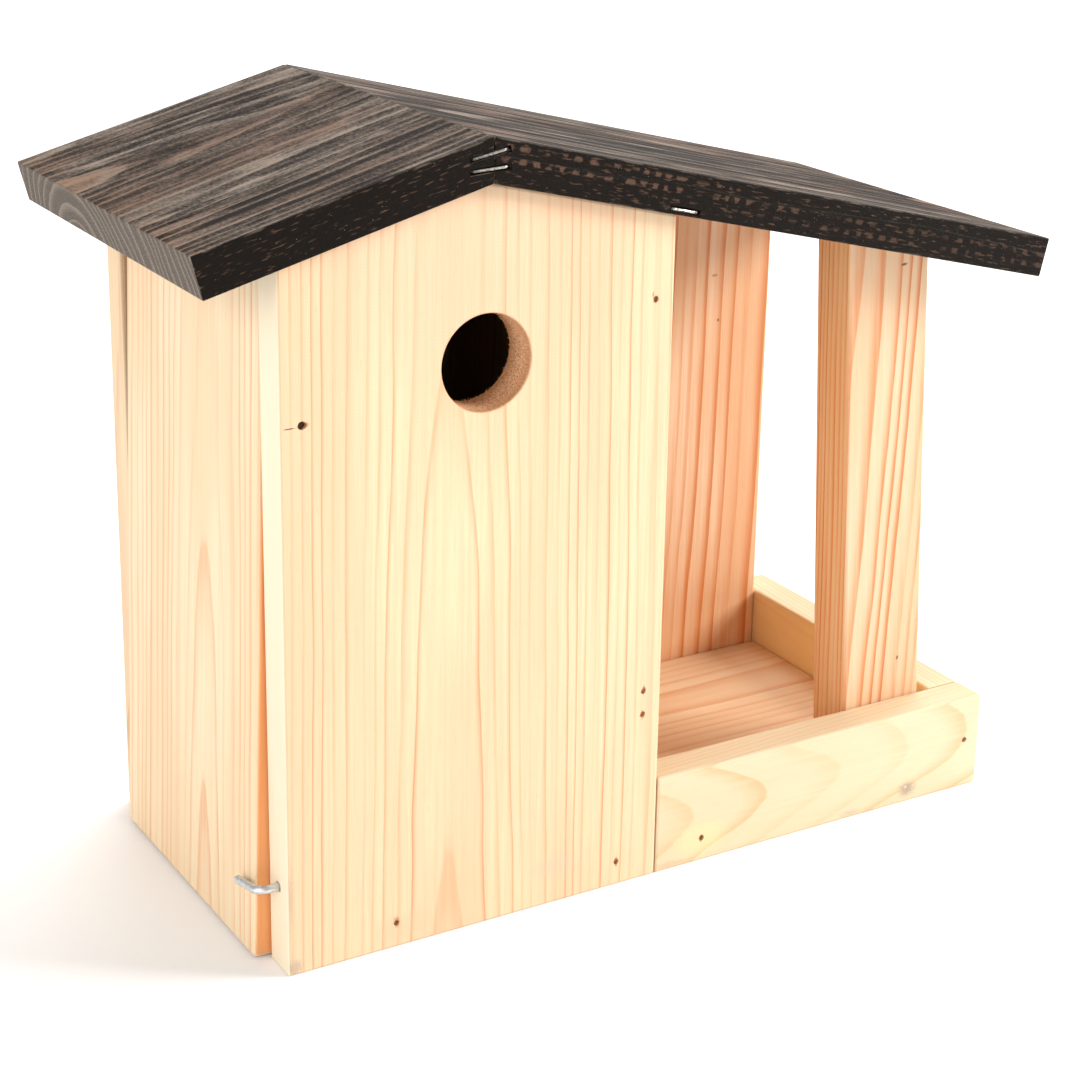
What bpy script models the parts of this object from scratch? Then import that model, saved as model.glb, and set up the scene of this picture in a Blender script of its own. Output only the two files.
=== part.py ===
"""Nest box with an open feeder bay beside it, under one uneven gable roof of stained boards.

Every size is in metres. Pieces are laid out in a plan frame: X = 0 at the nest's outer left
face and X to the right, Y = 0 at its front face and Y to the back, Z = 0 underneath and Z up.
The parent empty then moves the whole, so that its origin is the middle of the underside of the
box that bounds it.
"""

import math
from dataclasses import dataclass

import bmesh
import bpy
from mathutils import Vector

# Clearances, and how far a cutter runs past the face it starts from
JOINT_GAP = 0.0003
CUT_OVERRUN = 0.002
MERGE_DISTANCE = 0.0000001

# Boards
BOARD_THICKNESS = 0.015
BASE_THICKNESS = 0.015
RAIL_THICKNESS = 0.015
ROOF_THICKNESS = 0.015
EDGE_RADIUS = 0.0010
ROOF_EDGE_RADIUS = 0.0005
DOOR_EDGE_RADIUS = 0.0015
EDGE_SEGMENTS = 2
EDGE_ANGLE_DEG = 30.0

# Overall form
OVERALL_HEIGHT = 0.2865
NEST_WIDTH = 0.150
BODY_DEPTH = 0.150
FEEDER_LENGTH = 0.1565
RAIL_HEIGHT = 0.039
RIDGE_SHARE = 0.5

# Roof
LEFT_PITCH_DEG = 14.8
RIGHT_PITCH_DEG = 13.75
LEFT_OVERHANG = 0.0304
RIGHT_OVERHANG = 0.0113
FRONT_OVERHANG = 0.005
BACK_OVERHANG = 0.005

# Entrance hole, placed down from the underside of the ridge
ENTRANCE_RADIUS = 0.017
ENTRANCE_DROP = 0.0615
ENTRANCE_OFF_CENTRE = 0.0008
ENTRANCE_RIM = 0.0005
ENTRANCE_SIDES = 64

# Corner post of the feeder, which leans towards the nest
POST_WIDTH = 0.0375
POST_DEPTH = 0.020
POST_LEAN_DEG = 3.0
POST_TO_RAIL = 0.0044

# Side door, hung on two nails and resting against the end of the base board
DOOR_THICKNESS = 0.015
DOOR_SIDE_GAP = 0.0006
DOOR_TOP_GAP = 0.0042
DOOR_GROUND_GAP = 0.0005
DOOR_PIVOT_DROP = 0.0533
DOOR_PIVOT_INSET = 0.0080
DOOR_REST_TILT_DEG = 1.9

# Square-bend screw hook that latches the door
HOOK_WIRE_RADIUS = 0.0015
HOOK_HEIGHT = 0.0315
HOOK_ARM_LENGTH = 0.0182
HOOK_BEND_RADIUS = 0.0040
HOOK_BEND_STEPS = 8
HOOK_DROOP_DEG = 12.0
HOOK_DEPTH_IN_WOOD = 0.0125
HOOK_POINT_LENGTH = 0.003
HOOK_POINT_RADIUS = 0.0003
HOOK_END_LENGTH = 0.0005
HOOK_END_RADIUS = 0.0011
HOOK_SIDES = 16

# Nails that carry the door
PIVOT_LENGTH = 0.040
PIVOT_SHANK_RADIUS = 0.0009
PIVOT_HEAD_RADIUS = 0.0012
PIVOT_HEAD_THICKNESS = 0.0008
PIVOT_SINK = 0.0010
PIVOT_SIDES = 16

# Brads that hold the boards together
BRAD_LENGTH = 0.030
BRAD_SHANK_RADIUS = 0.0006
BRAD_HEAD_RADIUS = 0.0008
BRAD_HEAD_THICKNESS = 0.0007
BRAD_SINK = 0.0006
BRAD_SIDES = 12
NAIL_POINT_SHARE = 0.1

# Where the brads are, as shares of the boards that they go through or into
BASE_BRAD_HEIGHT_SHARE = 0.63
NEST_FRONT_BRAD_SHARES = (0.277, 0.885)
NEST_BACK_BRAD_SHARES = (0.22, 0.74)
FEEDER_BACK_BRAD_SHARES = (0.2, 0.78)
PARTITION_FRONT_BRAD_SHARES = (0.2655, 0.3015, 0.885)
PARTITION_BACK_BRAD_SHARES = (0.24, 0.82)
PARTITION_BRAD_DEPTH_SHARE = 0.5
RAIL_END_BRAD_SHARE = 0.53
RAIL_BASE_BRAD_SHARE = 0.135
RIGHT_RAIL_BRAD_SHARE = 0.55

# Staples across the roof joints
STAPLE_WIRE_RADIUS = 0.00055
STAPLE_CROWN = 0.0126
STAPLE_LEG = 0.010
STAPLE_BEND_RADIUS = 0.0009
STAPLE_BEND_STEPS = 3
STAPLE_SIDES = 8
STAPLE_SINK = 0.0011
STAPLE_SLOT_MARGIN = 0.0014
RIDGE_STAPLE_UPPER_RISE = 0.0097
RIDGE_STAPLE_LOWER_RISE = 0.0048
RIDGE_STAPLE_OFF_CENTRE = 0.0012
UPPER_STAPLE_TILT_DEG = 11.8
LOWER_STAPLE_TILT_DEG = 3.7
RIDGE_STAPLE_YAW_DEG = 3.5
EDGE_STAPLE_CROWN = 0.0104
EDGE_STAPLE_SINK = 0.0006
EDGE_STAPLE_RISE = 0.0019

# Places that follow from the sizes above
LEFT_PITCH = math.radians(LEFT_PITCH_DEG)
RIGHT_PITCH = math.radians(RIGHT_PITCH_DEG)
POST_LEAN = math.radians(POST_LEAN_DEG)
DOOR_TILT = math.radians(DOOR_REST_TILT_DEG)
RIDGE_X = NEST_WIDTH * RIDGE_SHARE
RIGHT_FACE_X = NEST_WIDTH + FEEDER_LENGTH
RIGHT_RAIL_X = RIGHT_FACE_X - RAIL_THICKNESS
PARTITION_X = NEST_WIDTH - BOARD_THICKNESS
BACK_BOARD_Y = BODY_DEPTH - BOARD_THICKNESS
INNER_FRONT_Y = BOARD_THICKNESS + JOINT_GAP
INNER_BACK_Y = BACK_BOARD_Y - JOINT_GAP
BASE_RIGHT_X = RIGHT_RAIL_X - JOINT_GAP
ON_BASE_Z = BASE_THICKNESS + JOINT_GAP
ROOF_LEFT_X = -LEFT_OVERHANG
ROOF_RIGHT_X = RIGHT_FACE_X + RIGHT_OVERHANG
ROOF_FRONT_Y = -FRONT_OVERHANG
ROOF_BACK_Y = BODY_DEPTH + BACK_OVERHANG
LEFT_UNDER_RIDGE_Z = OVERALL_HEIGHT - ROOF_THICKNESS / math.cos(LEFT_PITCH)
RIGHT_UNDER_RIDGE_Z = OVERALL_HEIGHT - ROOF_THICKNESS / math.cos(RIGHT_PITCH)
UNDER_RIDGE_Z = min(LEFT_UNDER_RIDGE_Z, RIGHT_UNDER_RIDGE_Z)
OUT_OF_PLAN = Vector((-(ROOF_LEFT_X + ROOF_RIGHT_X) / 2, -(ROOF_FRONT_Y + ROOF_BACK_Y) / 2, 0))


@dataclass(frozen=True)
class Finish:
    """Plain surface values of one kind of piece."""

    colour: tuple
    roughness: float
    metallic: float = 0.0


PLANK_WOOD = Finish((0.87, 0.67, 0.42), 0.62)
DOOR_WOOD = Finish((0.85, 0.60, 0.36), 0.62)
INNER_WOOD = Finish((0.72, 0.45, 0.24), 0.65)
RAIL_WOOD = Finish((0.86, 0.64, 0.38), 0.62)
STAINED_WOOD = Finish((0.045, 0.035, 0.028), 0.58)
ZINC = Finish((0.66, 0.68, 0.70), 0.28, 1.0)
STEEL = Finish((0.30, 0.27, 0.24), 0.45, 1.0)


@dataclass(frozen=True)
class NailSize:
    """One kind of nail, from its head's face to its point, and how deep it is punched in."""

    length: float
    shank_radius: float
    head_radius: float
    head_thickness: float
    sink: float
    sides: int


BRAD = NailSize(
    BRAD_LENGTH, BRAD_SHANK_RADIUS, BRAD_HEAD_RADIUS, BRAD_HEAD_THICKNESS, BRAD_SINK, BRAD_SIDES
)
PIVOT_NAIL = NailSize(
    PIVOT_LENGTH, PIVOT_SHANK_RADIUS, PIVOT_HEAD_RADIUS, PIVOT_HEAD_THICKNESS, PIVOT_SINK, PIVOT_SIDES
)


def roof_underside(x):
    """Height of the roof's underside over a place x in the plan frame."""
    if x <= RIDGE_X:
        return LEFT_UNDER_RIDGE_Z - (RIDGE_X - x) * math.tan(LEFT_PITCH)
    return RIGHT_UNDER_RIDGE_Z - (x - RIDGE_X) * math.tan(RIGHT_PITCH)


def under_roof(x):
    """Height at which an upright board ends, just under the roof."""
    return roof_underside(x) - JOINT_GAP


def clear_scene():
    """Remove every object that the scene starts with."""
    for obj in list(bpy.data.objects):
        bpy.data.objects.remove(obj, do_unlink=True)


def mesh_from(work, name):
    """Turn a working bmesh into a mesh with its faces pointing out."""
    bmesh.ops.recalc_face_normals(work, faces=work.faces)
    mesh = bpy.data.meshes.new(name)
    work.to_mesh(mesh)
    work.free()
    return mesh


def prism_mesh(name, outline, front, back):
    """Outline of (x, z) corners extruded along Y from front to back."""
    work = bmesh.new()
    face = work.faces.new([work.verts.new((x, front, z)) for x, z in outline])
    extruded = bmesh.ops.extrude_face_region(work, geom=[face])
    moved = [item for item in extruded["geom"] if isinstance(item, bmesh.types.BMVert)]
    bmesh.ops.translate(work, verts=moved, vec=(0, back - front, 0))
    return mesh_from(work, name)


def rectangle(left, right, bottom, top):
    """Corners (x, z) of an upright rectangle."""
    return [(left, bottom), (right, bottom), (right, top), (left, top)]


def turned_mesh(name, profile, sides):
    """Profile of (radius, height) points spun round Z. It starts and ends on the axis."""
    work = bmesh.new()
    points = [work.verts.new((radius, 0, height)) for radius, height in profile]
    edges = [work.edges.new(pair) for pair in zip(points, points[1:])]
    bmesh.ops.spin(
        work,
        geom=points + edges,
        axis=(0, 0, 1),
        cent=(0, 0, 0),
        steps=sides,
        angle=math.tau,
        use_merge=True,
    )
    bmesh.ops.remove_doubles(work, verts=work.verts, dist=MERGE_DISTANCE)
    return mesh_from(work, name)


def rounded_path(corners, radius, steps):
    """Path through the corners, in the XY plane, with each inner corner rounded by an arc."""
    path = [corners[0]]
    for before, corner, after in zip(corners, corners[1:], corners[2:]):
        back = (before - corner).normalized()
        ahead = (after - corner).normalized()
        half_angle = back.angle(ahead) / 2
        centre = corner + (back + ahead).normalized() * radius / math.sin(half_angle)
        start = corner + back * radius / math.tan(half_angle) - centre
        end = corner + ahead * radius / math.tan(half_angle) - centre
        turns = [start.slerp(end, step / steps) for step in range(steps + 1)]
        path += [centre + turn * radius for turn in turns]
    return path + [corners[-1]]


def wire_mesh(name, path, radii, sides):
    """Closed round wire along a path in the XY plane, with a ring of points at each of its points."""
    work = bmesh.new()
    rings = []
    for index, (point, radius) in enumerate(zip(path, radii)):
        arriving = (point - path[max(index - 1, 0)]).normalized()
        leaving = (path[min(index + 1, len(path) - 1)] - point).normalized()
        along = (arriving + leaving).normalized()
        across = Vector((-along.y, along.x, 0))
        mitre = across.length / max(along.dot(leaving), along.dot(arriving))
        ring = []
        for side in range(sides):
            turn = math.tau * side / sides
            offset = across * mitre * math.cos(turn) + Vector((0, 0, math.sin(turn)))
            ring.append(work.verts.new(point + offset * radius))
        rings.append(ring)
    for first, second in zip(rings, rings[1:]):
        for side in range(sides):
            after = (side + 1) % sides
            work.faces.new((first[side], first[after], second[after], second[side]))
    work.faces.new(rings[0])
    work.faces.new(rings[-1])
    return mesh_from(work, name)


class Assembly:
    """The parent empty, and the solids and cutters laid out under it in the plan frame."""

    def __init__(self):
        self.origin = bpy.data.objects.new("nest_box_origin", None)
        self.origin.location = OUT_OF_PLAN
        bpy.context.scene.collection.objects.link(self.origin)
        self.cuts = {}

    def place(self, name, mesh, location, rotation):
        """Add an object under the empty."""
        obj = bpy.data.objects.new(name, mesh)
        obj.location = location
        obj.rotation_euler = rotation
        obj.parent = self.origin
        bpy.context.scene.collection.objects.link(obj)
        return obj

    def solid(self, name, mesh, finish, location=(0, 0, 0), rotation=(0, 0, 0)):
        """Add one sub-part with a material of its own."""
        material = bpy.data.materials.new(name)
        material.use_nodes = True
        surface = material.node_tree.nodes["Principled BSDF"]
        surface.inputs["Base Color"].default_value = (*finish.colour, 1)
        surface.inputs["Roughness"].default_value = finish.roughness
        surface.inputs["Metallic"].default_value = finish.metallic
        mesh.materials.append(material)
        return self.place(name, mesh, location, rotation)

    def board(self, name, mesh, finish, radius=EDGE_RADIUS, **pose):
        """Add a board with eased edges."""
        board = self.solid(name, mesh, finish, **pose)
        bevel = board.modifiers.new("eased_edges", "BEVEL")
        bevel.width = radius
        bevel.segments = EDGE_SEGMENTS
        bevel.limit_method = "ANGLE"
        bevel.angle_limit = math.radians(EDGE_ANGLE_DEG)
        return board

    def round_solid(self, name, mesh, finish, **pose):
        """Add a turned or bent piece, smooth along its round faces."""
        mesh.shade_smooth()
        mesh.set_sharp_from_angle(angle=math.radians(EDGE_ANGLE_DEG))
        return self.solid(name, mesh, finish, **pose)

    def cut(self, boards, name, mesh, location=(0, 0, 0), rotation=(0, 0, 0)):
        """Take the shape of one cutter out of each of the boards."""
        cutter = self.place(name, mesh, location, rotation)
        cutter.hide_render = True
        cutter.display_type = "WIRE"
        for board in boards:
            boolean = board.modifiers.new(name, "BOOLEAN")
            boolean.operation = "DIFFERENCE"
            boolean.solver = "EXACT"
            boolean.object = cutter


def gable_outline():
    """Nest plank whose top follows both slopes."""
    return [
        (0, 0),
        (NEST_WIDTH, 0),
        (NEST_WIDTH, under_roof(NEST_WIDTH)),
        (RIDGE_X, UNDER_RIDGE_Z - JOINT_GAP),
        (0, under_roof(0)),
    ]


def sloped_outline(left, right, bottom):
    """Upright board under one slope, its top cut to the roof."""
    return [(left, bottom), (right, bottom), (right, under_roof(right)), (left, under_roof(left))]


def roof_outline(side, pitch, edge_x):
    """Roof board with a plumb cut at the ridge and a square cut at the eave. side is -1 or 1."""
    ridge_x = RIDGE_X + side * JOINT_GAP / 2
    fall = math.tan(pitch)
    ridge_top = OVERALL_HEIGHT - fall * JOINT_GAP / 2
    eave_top = OVERALL_HEIGHT - fall * abs(edge_x - RIDGE_X)
    return [
        (ridge_x, ridge_top),
        (ridge_x, ridge_top - ROOF_THICKNESS / math.cos(pitch)),
        (edge_x - side * ROOF_THICKNESS * math.sin(pitch), eave_top - ROOF_THICKNESS * math.cos(pitch)),
        (edge_x, eave_top),
    ]


def post_outline():
    """Leaning post from the base board up to the roof, its top cut to the slope."""
    across = POST_WIDTH / math.cos(POST_LEAN)
    foot_right = RIGHT_RAIL_X - POST_TO_RAIL
    fall = math.tan(RIGHT_PITCH)
    lean = math.tan(POST_LEAN)

    def top(foot_x):
        height = (under_roof(foot_x) - ON_BASE_Z) / (1 - lean * fall)
        return (foot_x - height * lean, ON_BASE_Z + height)

    foot_left = foot_right - across
    return [(foot_left, ON_BASE_Z), (foot_right, ON_BASE_Z), top(foot_right), top(foot_left)]


def door_pivot():
    """Where the door turns, in the plan frame, at the middle of its depth."""
    return Vector((DOOR_PIVOT_INSET, BODY_DEPTH / 2, roof_underside(0) - DOOR_PIVOT_DROP))


def door_face_x(side, height):
    """X of the door's face at rest, at a height. side is -1 for the outer face and 1 for the inner."""
    pivot = door_pivot()
    half = side * DOOR_THICKNESS / 2
    down = (height - pivot.z + half * math.sin(DOOR_TILT)) / math.cos(DOOR_TILT)
    return pivot.x + half * math.cos(DOOR_TILT) + down * math.sin(DOOR_TILT)


def nail_profile(size, grow=0, mouth=0):
    """Half profile of a nail from its head down, or of its hole with a wider wall and open mouth."""
    start = -mouth if mouth else size.sink
    neck = size.sink + size.head_thickness + grow
    point = size.length * NAIL_POINT_SHARE
    return [
        (0, start),
        (size.head_radius + grow, start),
        (size.head_radius + grow, neck),
        (size.shank_radius + grow, neck),
        (size.shank_radius + grow, size.sink + size.length - point + grow),
        (0, size.sink + size.length + grow),
    ]


def drive_nail(assembly, name, size, boards, location, direction):
    """Add a nail driven along a direction, and its clearance hole in the boards."""
    rotation = Vector(direction).to_track_quat("Z", "Y").to_euler()
    mesh = turned_mesh(name, nail_profile(size), size.sides)
    assembly.round_solid(name, mesh, STEEL, location=location, rotation=rotation)
    hole = turned_mesh(name + "_hole", nail_profile(size, JOINT_GAP, CUT_OVERRUN), size.sides)
    assembly.cut(boards, name + "_hole", hole, location, rotation)


def drive_staple(assembly, name, boards, crown, sink, location, rotation):
    """Add a staple whose crown lies along X and whose legs go in along Y, and cut its seat."""
    corners = [
        Vector((-crown / 2, STAPLE_LEG, 0)),
        Vector((-crown / 2, 0, 0)),
        Vector((crown / 2, 0, 0)),
        Vector((crown / 2, STAPLE_LEG, 0)),
    ]
    path = rounded_path(corners, STAPLE_BEND_RADIUS, STAPLE_BEND_STEPS)
    mesh = wire_mesh(name, path, [STAPLE_WIRE_RADIUS] * len(path), STAPLE_SIDES)
    assembly.round_solid(name, mesh, ZINC, location=location, rotation=rotation)

    wide = STAPLE_WIRE_RADIUS + JOINT_GAP
    leg_end = Vector((0, JOINT_GAP, 0))
    legs = [path[0] + leg_end] + path[1:-1] + [path[-1] + leg_end]
    seat = wire_mesh(name + "_legs", legs, [wide] * len(legs), STAPLE_SIDES)
    assembly.cut(boards, name + "_legs", seat, location, rotation)
    half_slot = crown / 2 + STAPLE_SLOT_MARGIN
    deep = wide + JOINT_GAP
    slot = prism_mesh(
        name + "_slot", rectangle(-half_slot, half_slot, -deep, deep), -sink - CUT_OVERRUN, deep
    )
    assembly.cut(boards, name + "_slot", slot, location, rotation)


def build_planks(assembly):
    """Front plank with its entrance hole, the two back boards and the partition."""
    front = assembly.board(
        "front_panel", prism_mesh("front_panel", gable_outline(), 0, BOARD_THICKNESS), PLANK_WOOD
    )
    back = assembly.board(
        "nest_back", prism_mesh("nest_back", gable_outline(), BACK_BOARD_Y, BODY_DEPTH), PLANK_WOOD
    )
    feeder_outline = sloped_outline(NEST_WIDTH + JOINT_GAP, BASE_RIGHT_X, 0)
    feeder = assembly.board(
        "feeder_back", prism_mesh("feeder_back", feeder_outline, BACK_BOARD_Y, BODY_DEPTH), INNER_WOOD
    )
    partition_outline = sloped_outline(PARTITION_X, NEST_WIDTH, ON_BASE_Z)
    partition = assembly.board(
        "partition",
        prism_mesh("partition", partition_outline, INNER_FRONT_Y, INNER_BACK_Y),
        INNER_WOOD,
    )
    cut_entrance(assembly, front)
    return front, back, feeder, partition


def cut_entrance(assembly, front):
    """Drill the entrance and break its two rims."""
    rim = ENTRANCE_RADIUS + ENTRANCE_RIM
    profile = [
        (0, -CUT_OVERRUN),
        (rim, -CUT_OVERRUN),
        (rim, 0),
        (ENTRANCE_RADIUS, ENTRANCE_RIM),
        (ENTRANCE_RADIUS, BOARD_THICKNESS - ENTRANCE_RIM),
        (rim, BOARD_THICKNESS),
        (rim, BOARD_THICKNESS + CUT_OVERRUN),
        (0, BOARD_THICKNESS + CUT_OVERRUN),
    ]
    centre = (RIDGE_X + ENTRANCE_OFF_CENTRE, 0, UNDER_RIDGE_Z - ENTRANCE_DROP)
    mesh = turned_mesh("entrance_bore", profile, ENTRANCE_SIDES)
    inward = Vector((0, 1, 0)).to_track_quat("Z", "Y").to_euler()
    assembly.cut([front], "entrance_bore", mesh, centre, inward)


def build_base(assembly):
    """Floor that runs on under the nest and the feeder, and the two rails round the feeder."""
    base_left = door_face_x(1, BASE_THICKNESS) + JOINT_GAP
    base = assembly.board(
        "base_board",
        prism_mesh(
            "base_board",
            rectangle(base_left, BASE_RIGHT_X, 0, BASE_THICKNESS),
            INNER_FRONT_Y,
            INNER_BACK_Y,
        ),
        INNER_WOOD,
    )
    front_rail = assembly.board(
        "front_rail",
        prism_mesh(
            "front_rail",
            rectangle(NEST_WIDTH + JOINT_GAP, RIGHT_FACE_X, 0, RAIL_HEIGHT),
            0,
            BOARD_THICKNESS,
        ),
        RAIL_WOOD,
    )
    right_rail = assembly.board(
        "right_rail",
        prism_mesh(
            "right_rail",
            rectangle(RIGHT_RAIL_X, RIGHT_FACE_X, 0, RAIL_HEIGHT),
            INNER_FRONT_Y,
            BODY_DEPTH,
        ),
        RAIL_WOOD,
    )
    return base, front_rail, right_rail


def build_post(assembly):
    """Post that carries the free corner of the roof."""
    mesh = prism_mesh("corner_post", post_outline(), INNER_FRONT_Y, INNER_FRONT_Y + POST_DEPTH)
    return assembly.board("corner_post", mesh, INNER_WOOD)


def build_roof(assembly):
    """Short left board and long right board, with two slanting staples across each end of the ridge."""
    left = assembly.board(
        "roof_left",
        prism_mesh("roof_left", roof_outline(-1, LEFT_PITCH, ROOF_LEFT_X), ROOF_FRONT_Y, ROOF_BACK_Y),
        STAINED_WOOD,
        radius=ROOF_EDGE_RADIUS,
    )
    right = assembly.board(
        "roof_right",
        prism_mesh("roof_right", roof_outline(1, RIGHT_PITCH, ROOF_RIGHT_X), ROOF_FRONT_Y, ROOF_BACK_Y),
        STAINED_WOOD,
        radius=ROOF_EDGE_RADIUS,
    )
    staple_x = RIDGE_X - RIDGE_STAPLE_OFF_CENTRE
    yaw = math.radians(RIDGE_STAPLE_YAW_DEG)
    rows = (
        ("upper", RIDGE_STAPLE_UPPER_RISE, math.radians(UPPER_STAPLE_TILT_DEG)),
        ("lower", RIDGE_STAPLE_LOWER_RISE, math.radians(LOWER_STAPLE_TILT_DEG)),
    )
    for row, rise, tilt in rows:
        height = UNDER_RIDGE_Z + rise
        ends = (
            ("front", ROOF_FRONT_Y + STAPLE_SINK, -yaw),
            ("back", ROOF_BACK_Y - STAPLE_SINK, math.pi - yaw),
        )
        for end, depth, turn in ends:
            drive_staple(
                assembly,
                f"ridge_staple_{end}_{row}",
                [left, right],
                STAPLE_CROWN,
                STAPLE_SINK,
                (staple_x, depth, height),
                (0, -tilt, turn),
            )
    drive_staple(
        assembly,
        "roof_edge_staple",
        [right],
        EDGE_STAPLE_CROWN,
        EDGE_STAPLE_SINK,
        (NEST_WIDTH, ROOF_FRONT_Y + EDGE_STAPLE_SINK, roof_underside(NEST_WIDTH) + EDGE_STAPLE_RISE),
        (0, RIGHT_PITCH, 0),
    )


def build_door(assembly, front, back):
    """Side panel between the two planks. It hangs on a nail through each of them."""
    pivot = door_pivot()
    half = DOOR_THICKNESS / 2
    half_depth = BODY_DEPTH / 2 - BOARD_THICKNESS - DOOR_SIDE_GAP
    top = DOOR_PIVOT_DROP - DOOR_TOP_GAP
    lowest = pivot.z - half * math.sin(DOOR_TILT) - DOOR_GROUND_GAP
    bottom = -lowest / math.cos(DOOR_TILT)
    mesh = prism_mesh("side_door", rectangle(-half, half, bottom, top), -half_depth, half_depth)
    door = assembly.board(
        "side_door",
        mesh,
        DOOR_WOOD,
        radius=DOOR_EDGE_RADIUS,
        location=pivot,
        rotation=(0, DOOR_TILT, 0),
    )
    nails = (
        ("door_pivot_nail_front", front, 0, 1),
        ("door_pivot_nail_back", back, BODY_DEPTH, -1),
    )
    for name, plank, face, inward in nails:
        place = (pivot.x, face, pivot.z)
        drive_nail(assembly, name, PIVOT_NAIL, [plank, door], place, (0, inward, 0))
    return door


def hook_reach():
    """Distance from the plank's side face to the middle of the arm, clear of the leaning door."""
    lowest = HOOK_HEIGHT - HOOK_ARM_LENGTH
    proud = max(-door_face_x(-1, lowest), 0)
    return proud + JOINT_GAP + HOOK_WIRE_RADIUS


def build_hook(assembly, front):
    """Screw hook with its shank in the plank's side face and its arm across the door."""
    reach = hook_reach()
    corners = [
        Vector((HOOK_DEPTH_IN_WOOD, 0, 0)),
        Vector((-reach, 0, 0)),
        Vector((-reach, HOOK_ARM_LENGTH, 0)),
    ]
    bend = min(HOOK_BEND_RADIUS, reach)
    path = rounded_path(corners, bend, HOOK_BEND_STEPS)
    point_end = path[0] - Vector((HOOK_POINT_LENGTH, 0, 0))
    arm_end = path[-1] - Vector((0, HOOK_END_LENGTH, 0))
    path = [path[0], point_end] + path[1:-1] + [arm_end, path[-1]]
    radii = [HOOK_POINT_RADIUS] + [HOOK_WIRE_RADIUS] * (len(path) - 2) + [HOOK_END_RADIUS]
    place = (0, BOARD_THICKNESS / 2, HOOK_HEIGHT)
    assembly.round_solid(
        "latch_hook",
        wire_mesh("latch_hook", path, radii, HOOK_SIDES),
        ZINC,
        location=place,
        rotation=(-math.radians(HOOK_DROOP_DEG), 0, 0),
    )
    wide = HOOK_WIRE_RADIUS + JOINT_GAP
    depth = HOOK_DEPTH_IN_WOOD + JOINT_GAP
    profile = [(0, -CUT_OVERRUN), (wide, -CUT_OVERRUN), (wide, depth), (0, depth)]
    inward = Vector((1, 0, 0)).to_track_quat("Z", "Y").to_euler()
    pilot = turned_mesh("hook_pilot", profile, HOOK_SIDES)
    assembly.cut([front], "hook_pilot", pilot, place, inward)


def nail_front(assembly, front, partition, base, front_rail, right_rail):
    """Brads driven in from the front face."""
    inward = (0, 1, 0)
    base_z = BASE_THICKNESS * BASE_BRAD_HEIGHT_SHARE
    for side, share in zip(("left", "right"), NEST_FRONT_BRAD_SHARES):
        place = (NEST_WIDTH * share, 0, base_z)
        drive_nail(assembly, f"base_brad_front_{side}", BRAD, [front, base], place, inward)
    partition_x = NEST_WIDTH - BOARD_THICKNESS * PARTITION_BRAD_DEPTH_SHARE
    for row, share in zip(("lowest", "low", "high"), PARTITION_FRONT_BRAD_SHARES):
        place = (partition_x, 0, under_roof(NEST_WIDTH) * share)
        drive_nail(assembly, f"partition_brad_front_{row}", BRAD, [front, partition], place, inward)
    end_place = (RIGHT_FACE_X - RAIL_THICKNESS / 2, 0, RAIL_HEIGHT * RAIL_END_BRAD_SHARE)
    drive_nail(assembly, "rail_corner_brad", BRAD, [front_rail, right_rail], end_place, inward)
    base_place = (NEST_WIDTH + FEEDER_LENGTH * RAIL_BASE_BRAD_SHARE, 0, base_z)
    drive_nail(assembly, "rail_base_brad_front", BRAD, [front_rail, base], base_place, inward)


def nail_back(assembly, back, feeder, partition, base):
    """Brads driven in from the back face."""
    inward = (0, -1, 0)
    base_z = BASE_THICKNESS * BASE_BRAD_HEIGHT_SHARE
    for side, share in zip(("left", "right"), NEST_BACK_BRAD_SHARES):
        place = (NEST_WIDTH * share, BODY_DEPTH, base_z)
        drive_nail(assembly, f"base_brad_back_{side}", BRAD, [back, base], place, inward)
    for side, share in zip(("left", "right"), FEEDER_BACK_BRAD_SHARES):
        place = (NEST_WIDTH + FEEDER_LENGTH * share, BODY_DEPTH, base_z)
        drive_nail(assembly, f"feeder_brad_back_{side}", BRAD, [feeder, base], place, inward)
    partition_x = NEST_WIDTH - BOARD_THICKNESS * PARTITION_BRAD_DEPTH_SHARE
    for row, share in zip(("low", "high"), PARTITION_BACK_BRAD_SHARES):
        place = (partition_x, BODY_DEPTH, under_roof(NEST_WIDTH) * share)
        drive_nail(assembly, f"partition_brad_back_{row}", BRAD, [back, partition], place, inward)


def nail_side(assembly, feeder, base, right_rail):
    """Brads driven in through the right rail."""
    inward = (-1, 0, 0)
    base_place = (
        RIGHT_FACE_X,
        BODY_DEPTH * RIGHT_RAIL_BRAD_SHARE,
        BASE_THICKNESS * BASE_BRAD_HEIGHT_SHARE,
    )
    drive_nail(assembly, "rail_base_brad_right", BRAD, [right_rail, base], base_place, inward)
    back_place = (RIGHT_FACE_X, BODY_DEPTH - BOARD_THICKNESS / 2, RAIL_HEIGHT * RAIL_END_BRAD_SHARE)
    drive_nail(assembly, "rail_back_brad", BRAD, [right_rail, feeder], back_place, inward)


def nail_post(assembly, post, base):
    """Brad driven up through the base board into the foot of the post."""
    foot_right = RIGHT_RAIL_X - POST_TO_RAIL
    place = (foot_right - POST_WIDTH / 2, INNER_FRONT_Y + POST_DEPTH / 2, 0)
    drive_nail(assembly, "post_foot_brad", BRAD, [base, post], place, (0, 0, 1))


def build():
    """Model the whole nest box."""
    clear_scene()
    assembly = Assembly()
    front, back, feeder, partition = build_planks(assembly)
    base, front_rail, right_rail = build_base(assembly)
    post = build_post(assembly)
    build_roof(assembly)
    build_door(assembly, front, back)
    build_hook(assembly, front)
    nail_front(assembly, front, partition, base, front_rail, right_rail)
    nail_back(assembly, back, feeder, partition, base)
    nail_side(assembly, feeder, base, right_rail)
    nail_post(assembly, post, base)


build()
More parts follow.
